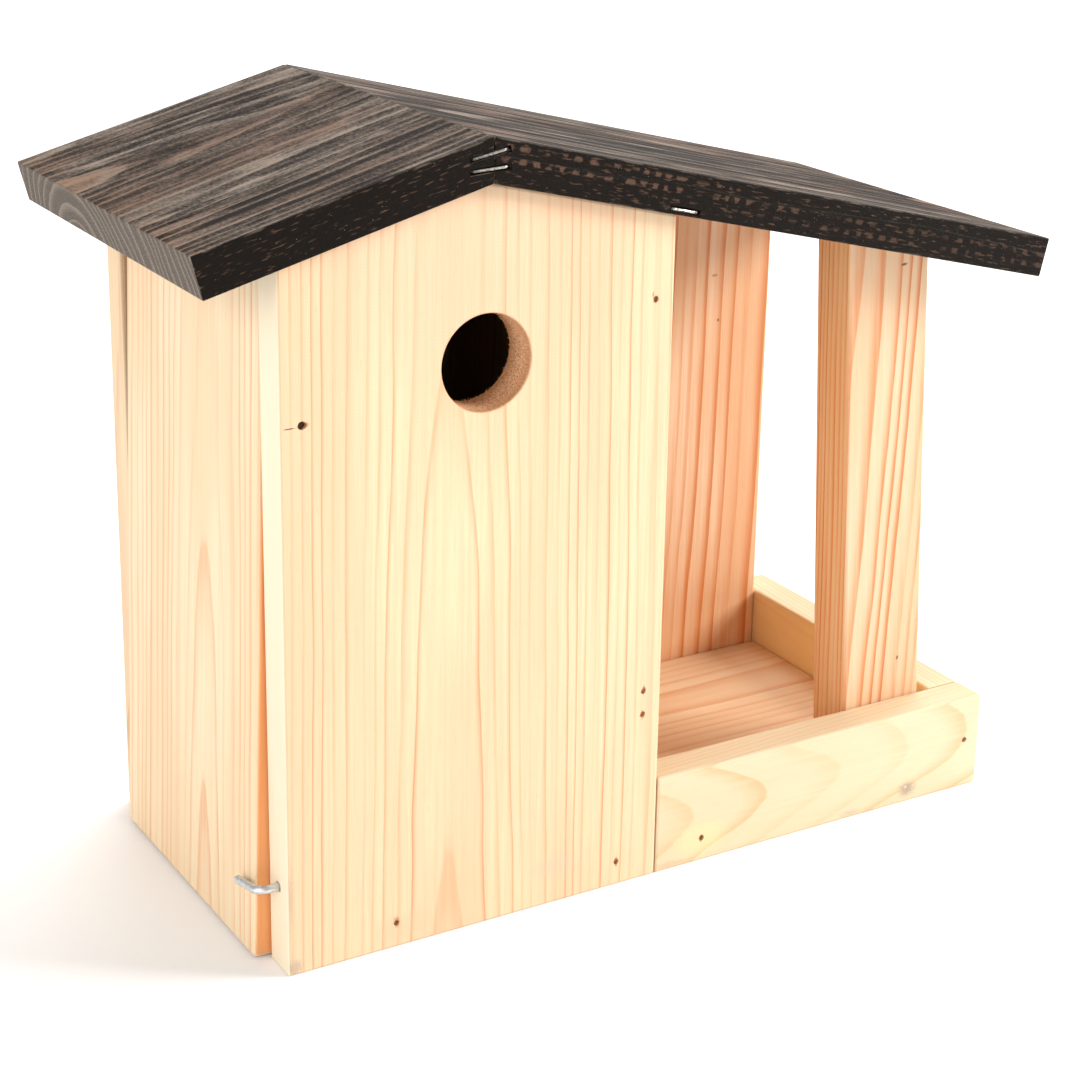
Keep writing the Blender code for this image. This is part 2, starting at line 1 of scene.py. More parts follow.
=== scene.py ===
"""Dresses the nest box with feeder: bare pine, dark stained roof, zinc hook and staples, steel brads.

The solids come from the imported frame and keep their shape. This script gives each of them its finish,
adds the torn fibres that the drill left round the entrance, and sets the camera, the floor and the light.
Plan lengths are in metres, as in the solids. Inside the materials a board is measured in millimetres
from its own middle: x across its face, y through its thickness and z along its grain.
"""

import logging
import math
import random
from dataclasses import dataclass, field
from enum import Enum
from typing import Union

import bmesh
import bpy
from bpy.types import Material, Mesh, Node, NodeSocket, NodeTree, Object
from mathutils import Matrix, Vector


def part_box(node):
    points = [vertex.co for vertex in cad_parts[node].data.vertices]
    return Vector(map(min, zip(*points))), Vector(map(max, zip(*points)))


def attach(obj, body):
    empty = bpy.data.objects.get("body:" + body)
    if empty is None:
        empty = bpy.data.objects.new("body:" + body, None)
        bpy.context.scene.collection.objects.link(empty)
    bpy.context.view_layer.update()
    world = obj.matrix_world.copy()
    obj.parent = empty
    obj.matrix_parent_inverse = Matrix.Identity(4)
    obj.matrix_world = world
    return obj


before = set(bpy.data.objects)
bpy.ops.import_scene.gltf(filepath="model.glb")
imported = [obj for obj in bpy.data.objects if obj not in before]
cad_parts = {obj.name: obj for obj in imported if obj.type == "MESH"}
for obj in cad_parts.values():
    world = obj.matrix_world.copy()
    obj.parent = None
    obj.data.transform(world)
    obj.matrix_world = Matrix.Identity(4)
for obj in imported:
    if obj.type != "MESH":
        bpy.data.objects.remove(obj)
LOG = logging.getLogger("nest_box")

# The plan frame of the solids has its corner at the nest's left front foot
PLAN_CORNER = Vector((-0.1437, -0.075, 0.0))
MILLIMETRE = 0.001

# A screen colour is six hexadecimal digits, two each for red, green and blue
Colour = str
Light = tuple[float, float, float, float]
Point = tuple[float, float, float]
Value = Union[float, Point, Colour, Light, "Flow"]


def in_frame(point: Point) -> Vector:
    """Moves a place in the plan frame, in metres, to the shared frame."""
    return PLAN_CORNER + Vector(point)


def light_of(code: Colour) -> Light:
    """Turns a screen colour into a shader's light values, by the curve that all screens follow."""
    parts = [int(code[place : place + 2], 16) / 255 for place in (0, 2, 4)]
    return (*(part / 12.92 if part <= 0.04045 else ((part + 0.055) / 1.055) ** 2.4 for part in parts), 1.0)


class Kind(Enum):
    """Kinds of sockets that the shared effects have."""

    NUMBER = "NodeSocketFloat"
    VECTOR = "NodeSocketVector"


class Way(Enum):
    """Ways of laying one colour over another."""

    COVER = "MIX"
    TINT = "MULTIPLY"


class Body(Enum):
    """Bodies of the frame that carry a piece made here."""

    BOX = "box"


class Flow:
    """A value that changes over a surface, with its graph, so that sums of values read as sums."""

    def __init__(self, graph: "Graph", socket: NodeSocket) -> None:
        """Keeps the graph, and the socket that carries the value."""
        self.graph = graph
        self.socket = socket

    def __add__(self, other: Value) -> "Flow":
        """Adds a value."""
        return self.graph.math("ADD", self, other)

    def __radd__(self, other: Value) -> "Flow":
        """Adds itself to a plain number."""
        return self.graph.math("ADD", other, self)

    def __sub__(self, other: Value) -> "Flow":
        """Takes a value away."""
        return self.graph.math("SUBTRACT", self, other)

    def __rsub__(self, other: Value) -> "Flow":
        """Takes itself from a plain number."""
        return self.graph.math("SUBTRACT", other, self)

    def __mul__(self, other: Value) -> "Flow":
        """Multiplies by a value."""
        return self.graph.math("MULTIPLY", self, other)

    def __truediv__(self, other: Value) -> "Flow":
        """Divides by a value."""
        return self.graph.math("DIVIDE", self, other)

    def span(self, low: Value, high: Value, to_low: float = 0.0, to_high: float = 1.0) -> "Flow":
        """Turns the range from low to high smoothly into the other one, and holds it beyond its ends."""
        steps = (self, low, high, to_low, to_high)
        return self.graph.out(self.graph.node("ShaderNodeMapRange", *steps, interpolation_type="SMOOTHSTEP"))


Masks = dict[str, Flow]


@dataclass(frozen=True)
class Layer:
    """One colour laid over what is below it."""

    share: Flow
    colour: Value
    way: Way = Way.COVER


class Graph:
    """Lays nodes in one node tree and joins them."""

    columns = 12
    spacing = (200, -240)
    seed_drift = (1.7, -0.6)

    def __init__(self, tree: NodeTree) -> None:
        """Starts on an empty tree."""
        self.tree = tree
        self.count = 0

    def node(self, kind: str, *values: Value, **settings: object) -> Node:
        """Adds a node.

        Args:
            kind: the node's type name.
            values: what its inlets take, in their order.
            settings: the node's own settings by name.

        Returns:
            The new node.
        """
        made = self.tree.nodes.new(kind)
        row, column = divmod(self.count, self.columns)
        made.location = (self.spacing[0] * column, self.spacing[1] * row)
        self.count += 1
        for name, setting in settings.items():
            setattr(made, name, setting)
        for inlet, value in zip(made.inputs, values):
            self.put(inlet, value)
        return made

    def out(self, made: Node, name: str | int = 0) -> Flow:
        """Reads one output of a node."""
        return Flow(self, made.outputs[name])

    def put(self, inlet: NodeSocket, value: Value) -> None:
        """Joins a value to an inlet, or sets the inlet's own.

        Args:
            inlet: the socket that takes the value.
            value: a flow, a number, a vector or a screen colour.
        """
        if isinstance(value, Flow):
            self.tree.links.new(value.socket, inlet)
        elif isinstance(value, str):
            inlet.default_value = light_of(value)
        else:
            inlet.default_value = value

    def math(self, operation: str, first: Value, second: Value = 0.0) -> Flow:
        """Works out one number from two, by an operation of the Math node."""
        return self.out(self.node("ShaderNodeMath", first, second, operation=operation))

    def move(self, operation: str, first: Value, second: Value = (0.0, 0.0, 0.0)) -> Flow:
        """Works on two vectors part by part, by an operation of the Vector Math node."""
        return self.out(self.node("ShaderNodeVectorMath", first, second, operation=operation))

    def length(self, vector: Value) -> Flow:
        """Measures how long a vector is."""
        return self.out(self.node("ShaderNodeVectorMath", vector, operation="LENGTH"), "Value")

    def point(self, x: Value, y: Value, z: Value) -> Flow:
        """Puts a vector together from its x, y and z."""
        return self.out(self.node("ShaderNodeCombineXYZ", x, y, z))

    def split(self, vector: Value) -> tuple[Flow, ...]:
        """Takes a vector apart into its x, y and z."""
        made = self.node("ShaderNodeSeparateXYZ", vector)
        return tuple(self.out(made, part) for part in range(3))

    def noise(self, vector: Value, size: Point, seed: Value = 0.0, detail: float = 1.0) -> Flow:
        """Cloudy pattern whose grains have a size of their own along each axis.

        Args:
            vector: the place, in millimetres.
            size: how large one grain is along x, y and z, in millimetres.
            seed: shifts the pattern.
            detail: how many finer layers it has.

        Returns:
            The pattern, about 0.5 on average.
        """
        scaled = self.move("DIVIDE", vector, size)
        shift = self.point(seed, *(seed * share for share in self.seed_drift))
        shifted = self.move("ADD", scaled, shift)
        made = self.node("ShaderNodeTexNoise")
        self.put(made.inputs["Vector"], shifted)
        self.put(made.inputs["Scale"], 1.0)
        self.put(made.inputs["Detail"], detail)
        return self.out(made)

    def unevenness(self, vector: Value, size: Point, seed: Value = 0.0, detail: float = 1.0) -> Flow:
        """Gives the same pattern as noise, but about 0 on average."""
        return self.noise(vector, size, seed, detail) - 0.5

    def blend(self, share: Value, first: Value, second: Value, way: Way = Way.COVER) -> Flow:
        """Mixes two colours.

        Args:
            share: how much of the second colour comes in.
            first: the colour at 0.
            second: the colour at 1.
            way: how the second is laid on the first.

        Returns:
            The mixed colour.
        """
        made = self.node("ShaderNodeMix", data_type="RGBA", blend_type=way.value, clamp_factor=True)
        self.put(made.inputs[0], share)
        self.put(made.inputs[6], first)
        self.put(made.inputs[7], second)
        return self.out(made, 2)

    def coats(self, ground: Value, layers: tuple[Layer, ...]) -> Value:
        """Lays colours over a ground, one after another.

        Args:
            ground: the lowest colour.
            layers: the colours above it, from the lowest up.

        Returns:
            The colour that shows.
        """
        colour = ground
        for layer in layers:
            colour = self.blend(layer.share, colour, layer.colour, layer.way)
        return colour

    def own_place(self, centre: Vector, turn: Matrix = Matrix.Identity(3)) -> Flow:
        """Gives each point its place along a piece's own axes.

        Args:
            centre: the piece's middle.
            turn: the piece's axes, as columns.

        Returns:
            The place from the piece's middle, in millimetres.
        """
        where = self.out(self.node("ShaderNodeTexCoord"), "Object")
        made = self.node("ShaderNodeMapping", where, vector_type="TEXTURE")
        made.inputs["Location"].default_value = centre
        made.inputs["Rotation"].default_value = turn.to_euler()
        made.inputs["Scale"].default_value = (MILLIMETRE, MILLIMETRE, MILLIMETRE)
        return self.out(made)


class Effect:
    """An effect that several materials share. It is built once, as a node group."""

    title: str = ""
    vectors: tuple[str, ...] = ("place",)
    numbers: tuple[str, ...] = ("seed",)
    outputs: tuple[str, ...] = ()

    def wire(self, graph: Graph, inlet: Masks) -> Masks:
        """Lays the group's nodes, each effect in its own way."""
        raise NotImplementedError

    def tree(self) -> NodeTree:
        """Finds the group, or builds it the first time.

        Returns:
            The group's node tree.
        """
        found = bpy.data.node_groups.get(self.title)
        if found:
            return found
        tree = bpy.data.node_groups.new(self.title, "ShaderNodeTree")
        sockets = (
            ("INPUT", Kind.VECTOR, self.vectors),
            ("INPUT", Kind.NUMBER, self.numbers),
            ("OUTPUT", Kind.NUMBER, self.outputs),
        )
        for side, kind, names in sockets:
            for name in names:
                tree.interface.new_socket(name=name, in_out=side, socket_type=kind.value)
        graph = Graph(tree)
        entry = graph.node("NodeGroupInput")
        made = self.wire(graph, {name: graph.out(entry, name) for name in self.vectors + self.numbers})
        leave = graph.node("NodeGroupOutput")
        for name, flow in made.items():
            graph.put(leave.inputs[name], flow)
        return tree

    def lay(self, place: Flow, label: str = "", **values: Value) -> Masks:
        """Lays the effect in a material.

        Args:
            place: each point's place along the piece's own axes.
            label: what it stands for there, if not for the effect as a whole.
            values: a value for each other input.

        Returns:
            The group's outputs by name.
        """
        graph = place.graph
        made = graph.node("ShaderNodeGroup", place, node_tree=self.tree(), label=label or self.title)
        for name, value in values.items():
            graph.put(made.inputs[name], value)
        return {name: graph.out(made, name) for name in self.outputs}


class GrowthRings(Effect):
    """Year rings round a pith line that leans through or past the board.

    Late is the dark late wood of each ring, soft towards the pith and sharp on its outer side. Tone is
    one number per ring. Flat is 1 where the cut lies flat along the rings and 0 where it crosses them.
    """

    title = "growth_rings"
    vectors = ("place", "pith", "lean")
    numbers = ("ring", "waver", "start", "seed")
    outputs = ("late", "tone", "flat")

    def wire(self, graph: Graph, inlet: Masks) -> Masks:
        """Measures the distance from the pith, bends it a little and cuts it into rings.

        Args:
            graph: the group's nodes.
            inlet: the group's inputs by name.

        Returns:
            The group's outputs by name.
        """
        place = inlet["place"]
        seed = inlet["seed"]
        _, _, along = graph.split(place)
        drift = graph.move("MULTIPLY", inlet["lean"], graph.point(along, along, 0.0))
        off_pith = graph.move("SUBTRACT", place, graph.move("ADD", inlet["pith"], drift))
        radius = graph.length(graph.move("MULTIPLY", off_pith, (1.0, 1.0, 0.0)))
        _, below, _ = graph.split(off_pith)
        flat = graph.math("ABSOLUTE", below) / (radius + 0.01)
        slow = graph.unevenness(place, (34.0, 34.0, 110.0), seed) * 3.2
        quick = graph.unevenness(place, (9.0, 9.0, 46.0), seed, 2.0) * 0.8
        even = (radius + (slow + quick) * inlet["waver"]) / inlet["ring"]
        lane = graph.point(even / 2.7, seed, 0.0)
        steps = even + graph.noise(lane, (1.0, 1.0, 1.0), 0.0, 0.0) * 1.7
        part = graph.math("FRACT", steps)
        late = part.span(inlet["start"], 0.94) * part.span(0.945, 1.0, 1.0, 0.0)
        ring_number = graph.node("ShaderNodeTexWhiteNoise", noise_dimensions="1D")
        graph.put(ring_number.inputs["W"], graph.math("FLOOR", steps) + seed)
        return {"late": graph.math("POWER", late, 1.5), "tone": graph.out(ring_number, "Value"), "flat": flat}


class WoodFibre(Effect):
    """Fibres, wider streaks, broad clouds and short resin flecks, all drawn out along the grain."""

    title = "wood_fibre"
    outputs = ("fibre", "streak", "cloud", "fleck")

    def wire(self, graph: Graph, inlet: Masks) -> Masks:
        """Stretches four cloudy patterns along the grain.

        Args:
            graph: the group's nodes.
            inlet: the group's inputs by name.

        Returns:
            The group's outputs by name.
        """
        place = inlet["place"]
        seed = inlet["seed"]
        return {
            "fibre": graph.noise(place, (0.34, 0.34, 15.0), seed, 3.0),
            "streak": graph.noise(place, (1.9, 1.9, 85.0), seed, 2.0).span(0.3, 0.7),
            "cloud": graph.noise(place, (24.0, 24.0, 120.0), seed, 1.0).span(0.3, 0.7),
            "fleck": graph.noise(place, (0.6, 0.6, 3.0), seed, 0.0).span(0.77, 0.83),
        }


class BoardEdges(Effect):
    """Where a board's edges and its two sawn ends are.

    Edge is 1 on an edge and falls off inwards. Sawn is 1 on the faces across the grain. Flank is 1 on
    the two narrow sides along the grain.
    """

    title = "board_edges"
    vectors = ("place", "half")
    numbers = ("width", "ragged")
    outputs = ("edge", "sawn", "flank")

    def wire(self, graph: Graph, inlet: Masks) -> Masks:
        """Measures how far each face is, and takes the second nearest.

        Args:
            graph: the group's nodes.
            inlet: the group's inputs by name.

        Returns:
            The group's outputs by name.
        """
        place = inlet["place"]
        inside = graph.move("SUBTRACT", inlet["half"], graph.move("ABSOLUTE", place))
        side, face, end = graph.split(inside)
        nearer = graph.math("MINIMUM", side, face)
        farther = graph.math("MAXIMUM", side, face)
        second = graph.math("MAXIMUM", nearer, graph.math("MINIMUM", farther, end))
        reach = second + graph.unevenness(place, (1.6, 1.6, 5.0), 3.0, 2.0) * inlet["ragged"]
        return {
            "edge": reach.span(0.0, inlet["width"], 1.0, 0.0),
            "sawn": end.span(0.1, 0.4, 1.0, 0.0),
            "flank": side.span(0.1, 0.4, 1.0, 0.0),
        }


class Spot(Effect):
    """A soft or ragged spot: a knot, a stain, torn wood round a nail, or a patch of painted light and shade.
    """

    title = "spot"
    vectors = ("place", "centre", "size")
    numbers = ("feather", "ragged")
    outputs = ("mask",)

    def wire(self, graph: Graph, inlet: Masks) -> Masks:
        """Measures the distance from the middle in shares of the spot's size.

        Args:
            graph: the group's nodes.
            inlet: the group's inputs by name.

        Returns:
            The group's outputs by name.
        """
        off = graph.move("DIVIDE", graph.move("SUBTRACT", inlet["place"], inlet["centre"]), inlet["size"])
        rough = graph.unevenness(inlet["place"], (0.8, 0.8, 1.6), 1.0, 3.0)
        reach = graph.length(off) + rough * inlet["ragged"]
        return {"mask": reach.span(1.0 - inlet["feather"], 1.0, 1.0, 0.0)}


class KnifeMarks(Effect):
    """Marks of the planer's knives, which lie across the grain at an even pitch."""

    title = "knife_marks"
    numbers = ("pitch", "seed")
    outputs = ("ripple", "patch")

    def wire(self, graph: Graph, inlet: Masks) -> Masks:
        """Makes an even wave along the grain, and patches that keep to it unevenly.

        Args:
            graph: the group's nodes.
            inlet: the group's inputs by name.

        Returns:
            The group's outputs by name.
        """
        place = inlet["place"]
        seed = inlet["seed"]
        _, _, along = graph.split(place)
        turns = along / inlet["pitch"] + graph.noise(place, (30.0, 30.0, 21.0), seed, 0.0) * 2.0
        wave = graph.math("SINE", turns * math.tau)
        lift = wave * 0.22 + graph.noise(place, (7.0, 2.6, 4.6), seed, 1.0)
        return {"ripple": wave.span(-1.0, 1.0), "patch": lift.span(0.46, 0.68)}


class MetalWear(Effect):
    """Spangle, drawn scratches and grime on small plated or bare metal pieces."""

    title = "metal_wear"
    outputs = ("spangle", "scratch", "grime")

    def wire(self, graph: Graph, inlet: Masks) -> Masks:
        """Lays crystals, long scratches and a cloudy dirt over each other.

        Args:
            graph: the group's nodes.
            inlet: the group's inputs by name.

        Returns:
            The group's outputs by name.
        """
        place = inlet["place"]
        seed = inlet["seed"]
        crystals = graph.node("ShaderNodeTexVoronoi")
        graph.put(crystals.inputs["Vector"], place)
        graph.put(crystals.inputs["Scale"], 1.1)
        spangle, _, _ = graph.split(graph.out(crystals, "Color"))
        return {
            "spangle": spangle,
            "scratch": graph.noise(place, (2.4, 0.12, 0.12), seed, 2.0).span(0.52, 0.7),
            "grime": graph.noise(place, (1.3, 1.3, 1.3), seed, 3.0).span(0.45, 0.7),
        }


RINGS = GrowthRings()
FIBRE = WoodFibre()
EDGES = BoardEdges()
SPOT = Spot()
KNIVES = KnifeMarks()
METAL = MetalWear()


@dataclass
class Board:
    """A board of the frame, with axes of its own: across its face, through it and along its grain."""

    node: str
    along: Vector
    across: Vector
    turn: Matrix = field(init=False)
    centre: Vector = field(init=False)
    half: Vector = field(init=False)

    def __post_init__(self) -> None:
        """Measures the board along its own axes."""
        through = self.along.cross(self.across)
        self.turn = Matrix((self.across, through, self.along)).transposed()
        inverse = self.turn.transposed()
        corners = [inverse @ vertex.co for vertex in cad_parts[self.node].data.vertices]
        low = Vector([min(corner[axis] for corner in corners) for axis in range(3)])
        high = Vector([max(corner[axis] for corner in corners) for axis in range(3)])
        self.centre = self.turn @ ((low + high) / 2)
        self.half = (high - low) / 2 / MILLIMETRE

    def own(self, point: Point) -> Point:
        """Gives a place in the plan frame along the board's own axes, in millimetres."""
        return tuple(self.turn.transposed() @ (in_frame(point) - self.centre) / MILLIMETRE)

    def own_size(self, size: Point) -> Point:
        """Turns half sizes along the plan's axes into half sizes along the board's own."""
        turned = [sum(abs(self.turn[row][axis]) * size[row] for row in range(3)) for axis in range(3)]
        return tuple(turned)


@dataclass(frozen=True)
class Mark:
    """A spot on a board: its place in the plan frame, its half sizes there in millimetres and its colour.

    dent is how deep it goes, as a share of the board's relief.
    """

    what: str
    place: Point
    size: Point
    colour: Colour
    strength: float = 0.8
    feather: float = 0.5
    ragged: float = 0.5
    dent: float = 0.0

    def lay(self, board: Board, place: Flow) -> Flow:
        """Lays the spot on a board.

        Args:
            board: the board that carries it.
            place: each point's place along the board's own axes.

        Returns:
            The spot's mask.
        """
        centre = board.own(self.place)
        size = board.own_size(self.size)
        edge = {"feather": self.feather, "ragged": self.ragged}
        return SPOT.lay(place, self.what, centre=centre, size=size, **edge)["mask"]


@dataclass(frozen=True)
class Grain:
    """How the tree's rings lie in one board, in millimetres from the board's middle.

    pith is where the middle of the tree is across and through the board, lean how far it moves in
    each of these directions per millimetre along the grain. start is where in a ring its late wood
    begins, from 0 to 1.
    """

    pith: tuple[float, float]
    lean: tuple[float, float]
    ring: float
    waver: float
    seed: float
    start: float = 0.4

    def lay(self, place: Flow) -> Masks:
        """Lays the grain in a board.

        Args:
            place: each point's place along the board's own axes.

        Returns:
            The masks of the growth rings and of the fibres.
        """
        pith = (*self.pith, 0.0)
        lean = (*self.lean, 0.0)
        size = {"ring": self.ring, "waver": self.waver, "start": self.start, "seed": self.seed}
        return RINGS.lay(place, pith=pith, lean=lean, **size) | FIBRE.lay(place, seed=self.seed)


@dataclass(frozen=True)
class Bore:
    """A drilled hole: the place of its axis in the plan frame and its radius, in metres."""

    x: float
    z: float
    radius: float


def fresh_material(name: str) -> tuple[Material, Graph, Node]:
    """Starts a material.

    Args:
        name: the material's name.

    Returns:
        The material, its nodes and its Principled BSDF.
    """
    material = bpy.data.materials.new(name)
    material.use_nodes = True
    material.node_tree.nodes.clear()
    graph = Graph(material.node_tree)
    shader = graph.node("ShaderNodeBsdfPrincipled")
    output = graph.node("ShaderNodeOutputMaterial")
    graph.put(output.inputs["Surface"], graph.out(shader, "BSDF"))
    return material, graph, shader


@dataclass(frozen=True)
class Surface:
    """What a finish feeds to its shader. relief is the depth of the height, in metres."""

    colour: Value
    rough: Value
    height: Value
    relief: float
    strength: float = 1.0

    def feed(self, graph: Graph, shader: Node) -> None:
        """Feeds the colour, the roughness and the relief to a shader.

        Args:
            graph: the material's nodes.
            shader: the Principled BSDF.
        """
        graph.put(shader.inputs["Base Color"], self.colour)
        graph.put(shader.inputs["Roughness"], self.rough)
        bump = graph.node("ShaderNodeBump")
        bump.inputs["Strength"].default_value = self.strength
        bump.inputs["Distance"].default_value = self.relief
        graph.put(bump.inputs["Height"], self.height)
        graph.put(shader.inputs["Normal"], graph.out(bump, "Normal"))


def wear_finish(node: str, material: Material) -> None:
    """Puts a material on every slot of a solid of the frame.

    Args:
        node: the solid's node.
        material: what it wears.
    """
    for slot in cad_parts[node].material_slots:
        slot.material = material
    LOG.info("finished %s with %s", node, material.name)


@dataclass(frozen=True)
class WoodFinish:
    """What every wooden finish has."""

    roughness: float = 0.56
    relief: float = 0.00012
    edge_width: float = 1.1
    edge_ragged: float = 0.9
    gloss: float = 0.3

    def lay_wood(self, place: Flow, board: Board, grain: Grain, pitch: float) -> Masks:
        """Lays the grain, the worn edges and the knife marks that all boards have.

        Args:
            place: each point's place along the board's own axes.
            board: the board that wears the finish.
            grain: how the rings lie in it.
            pitch: distance between the knife marks, in millimetres.

        Returns:
            All their masks by name.
        """
        half = tuple(board.half)
        edges = EDGES.lay(place, half=half, width=self.edge_width, ragged=self.edge_ragged)
        return grain.lay(place) | edges | KNIVES.lay(place, pitch=pitch, seed=grain.seed)


@dataclass(frozen=True, kw_only=True)
class PineFinish(WoodFinish):
    """Bare planed pine."""

    early: Colour
    late: Colour
    warm: Colour
    line: Colour
    end: Colour
    late_strength: float = 0.75
    line_strength: float = 0.5
    flat_fade: float = 0.0
    flank: Colour = "FFFFFF"
    warm_strength: float = 0.5
    streak_strength: float = 0.35
    knife_pitch: float = 1.15
    wall_wool: tuple[Colour, Colour] = ("CC9268", "FFD6AC")
    wall_deep: Colour = "BA8254"

    def dress(
        self,
        board: Board,
        grain: Grain,
        marks: tuple[Mark, ...] = (),
        bore: Bore | None = None,
    ) -> None:
        """Makes the material of one board and puts it on.

        Args:
            board: the board that wears it.
            grain: how the rings lie in the board.
            marks: its knots, stains, torn places and patches of painted light and shade.
            bore: the hole drilled through it, if it has one.
        """
        material, graph, shader = fresh_material(board.node + "_pine")
        place = graph.own_place(board.centre, board.turn)
        wood = self.lay_wood(place, board, grain, self.knife_pitch)

        fade = wood["streak"] * 0.4 + (0.2 + wood["tone"] * 0.8)
        fade = fade * wood["flat"].span(0.8, 0.98, 1.0, 1.0 - self.flat_fade)
        late = wood["late"] * fade * self.late_strength
        line = wood["late"].span(0.72, 1.0) * wood["tone"].span(0.35, 0.75)
        layers = (
            Layer(wood["cloud"] * self.warm_strength, self.warm),
            Layer(wood["streak"] * self.streak_strength, self.warm),
            Layer(late, self.late),
            Layer(line * fade * self.line_strength, self.line),
            Layer(wood["fibre"].span(0.3, 0.7, 0.12, 0.0), self.late),
            Layer(wood["flank"], self.flank, Way.TINT),
            Layer(wood["ripple"] * (wood["patch"] * 0.05), self.late),
            Layer(wood["fleck"] * 0.1, self.end),
            Layer(wood["sawn"] * 0.65, self.end, Way.TINT),
            Layer(wood["edge"] * 0.22, self.early),
        )
        colour = graph.coats(self.early, layers)
        saw_marks = graph.noise(place, (0.3, 0.3, 0.9), 5.0, 2.0) * wood["sawn"]
        height = wood["fibre"] * 0.8 + late * 0.4 + wood["ripple"] * 0.06 + saw_marks
        rough = self.roughness + (wood["fibre"] - 0.5) * 0.35 - late * 0.1
        if bore:
            wall, wool, shade = self.drilled_wall(graph, board, place, bore)
            colour = graph.blend(wall, colour, shade)
            height = height + wool * wall * 2.2
        for mark in marks:
            mask = mark.lay(board, place)
            colour = graph.blend(mask * mark.strength, colour, mark.colour)
            if mark.dent:
                height = height - mask * mark.dent
        shader.inputs["Specular IOR Level"].default_value = self.gloss
        Surface(colour, rough, height, self.relief).feed(graph, shader)
        wear_finish(board.node, material)

    def drilled_wall(self, graph: Graph, board: Board, place: Flow, bore: Bore) -> tuple[Flow, Flow, Flow]:
        """Gives a drilled hole's wall its torn, woolly cut.

        Args:
            graph: the material's nodes.
            board: the board that is drilled.
            place: each point's place along the board's own axes.
            bore: the hole.

        Returns:
            Where the wall is, the wool on it and its colour.
        """
        centre = board.own((bore.x, 0.0, bore.z))
        off = graph.move("MULTIPLY", graph.move("SUBTRACT", place, centre), (1.0, 0.0, 1.0))
        radius = bore.radius / MILLIMETRE
        wall = graph.length(off).span(radius + 0.12, radius + 0.4, 1.0, 0.0)
        wool = graph.noise(place, (0.55, 0.9, 0.55), 4.0, 4.0)
        _, through, _ = graph.split(place)
        deep = graph.math("ABSOLUTE", through).span(1.0, board.half.y, 0.0, 0.6)
        shade = graph.blend(wool.span(0.32, 0.72), *self.wall_wool)
        return wall, wool, graph.blend(deep, shade, self.wall_deep)


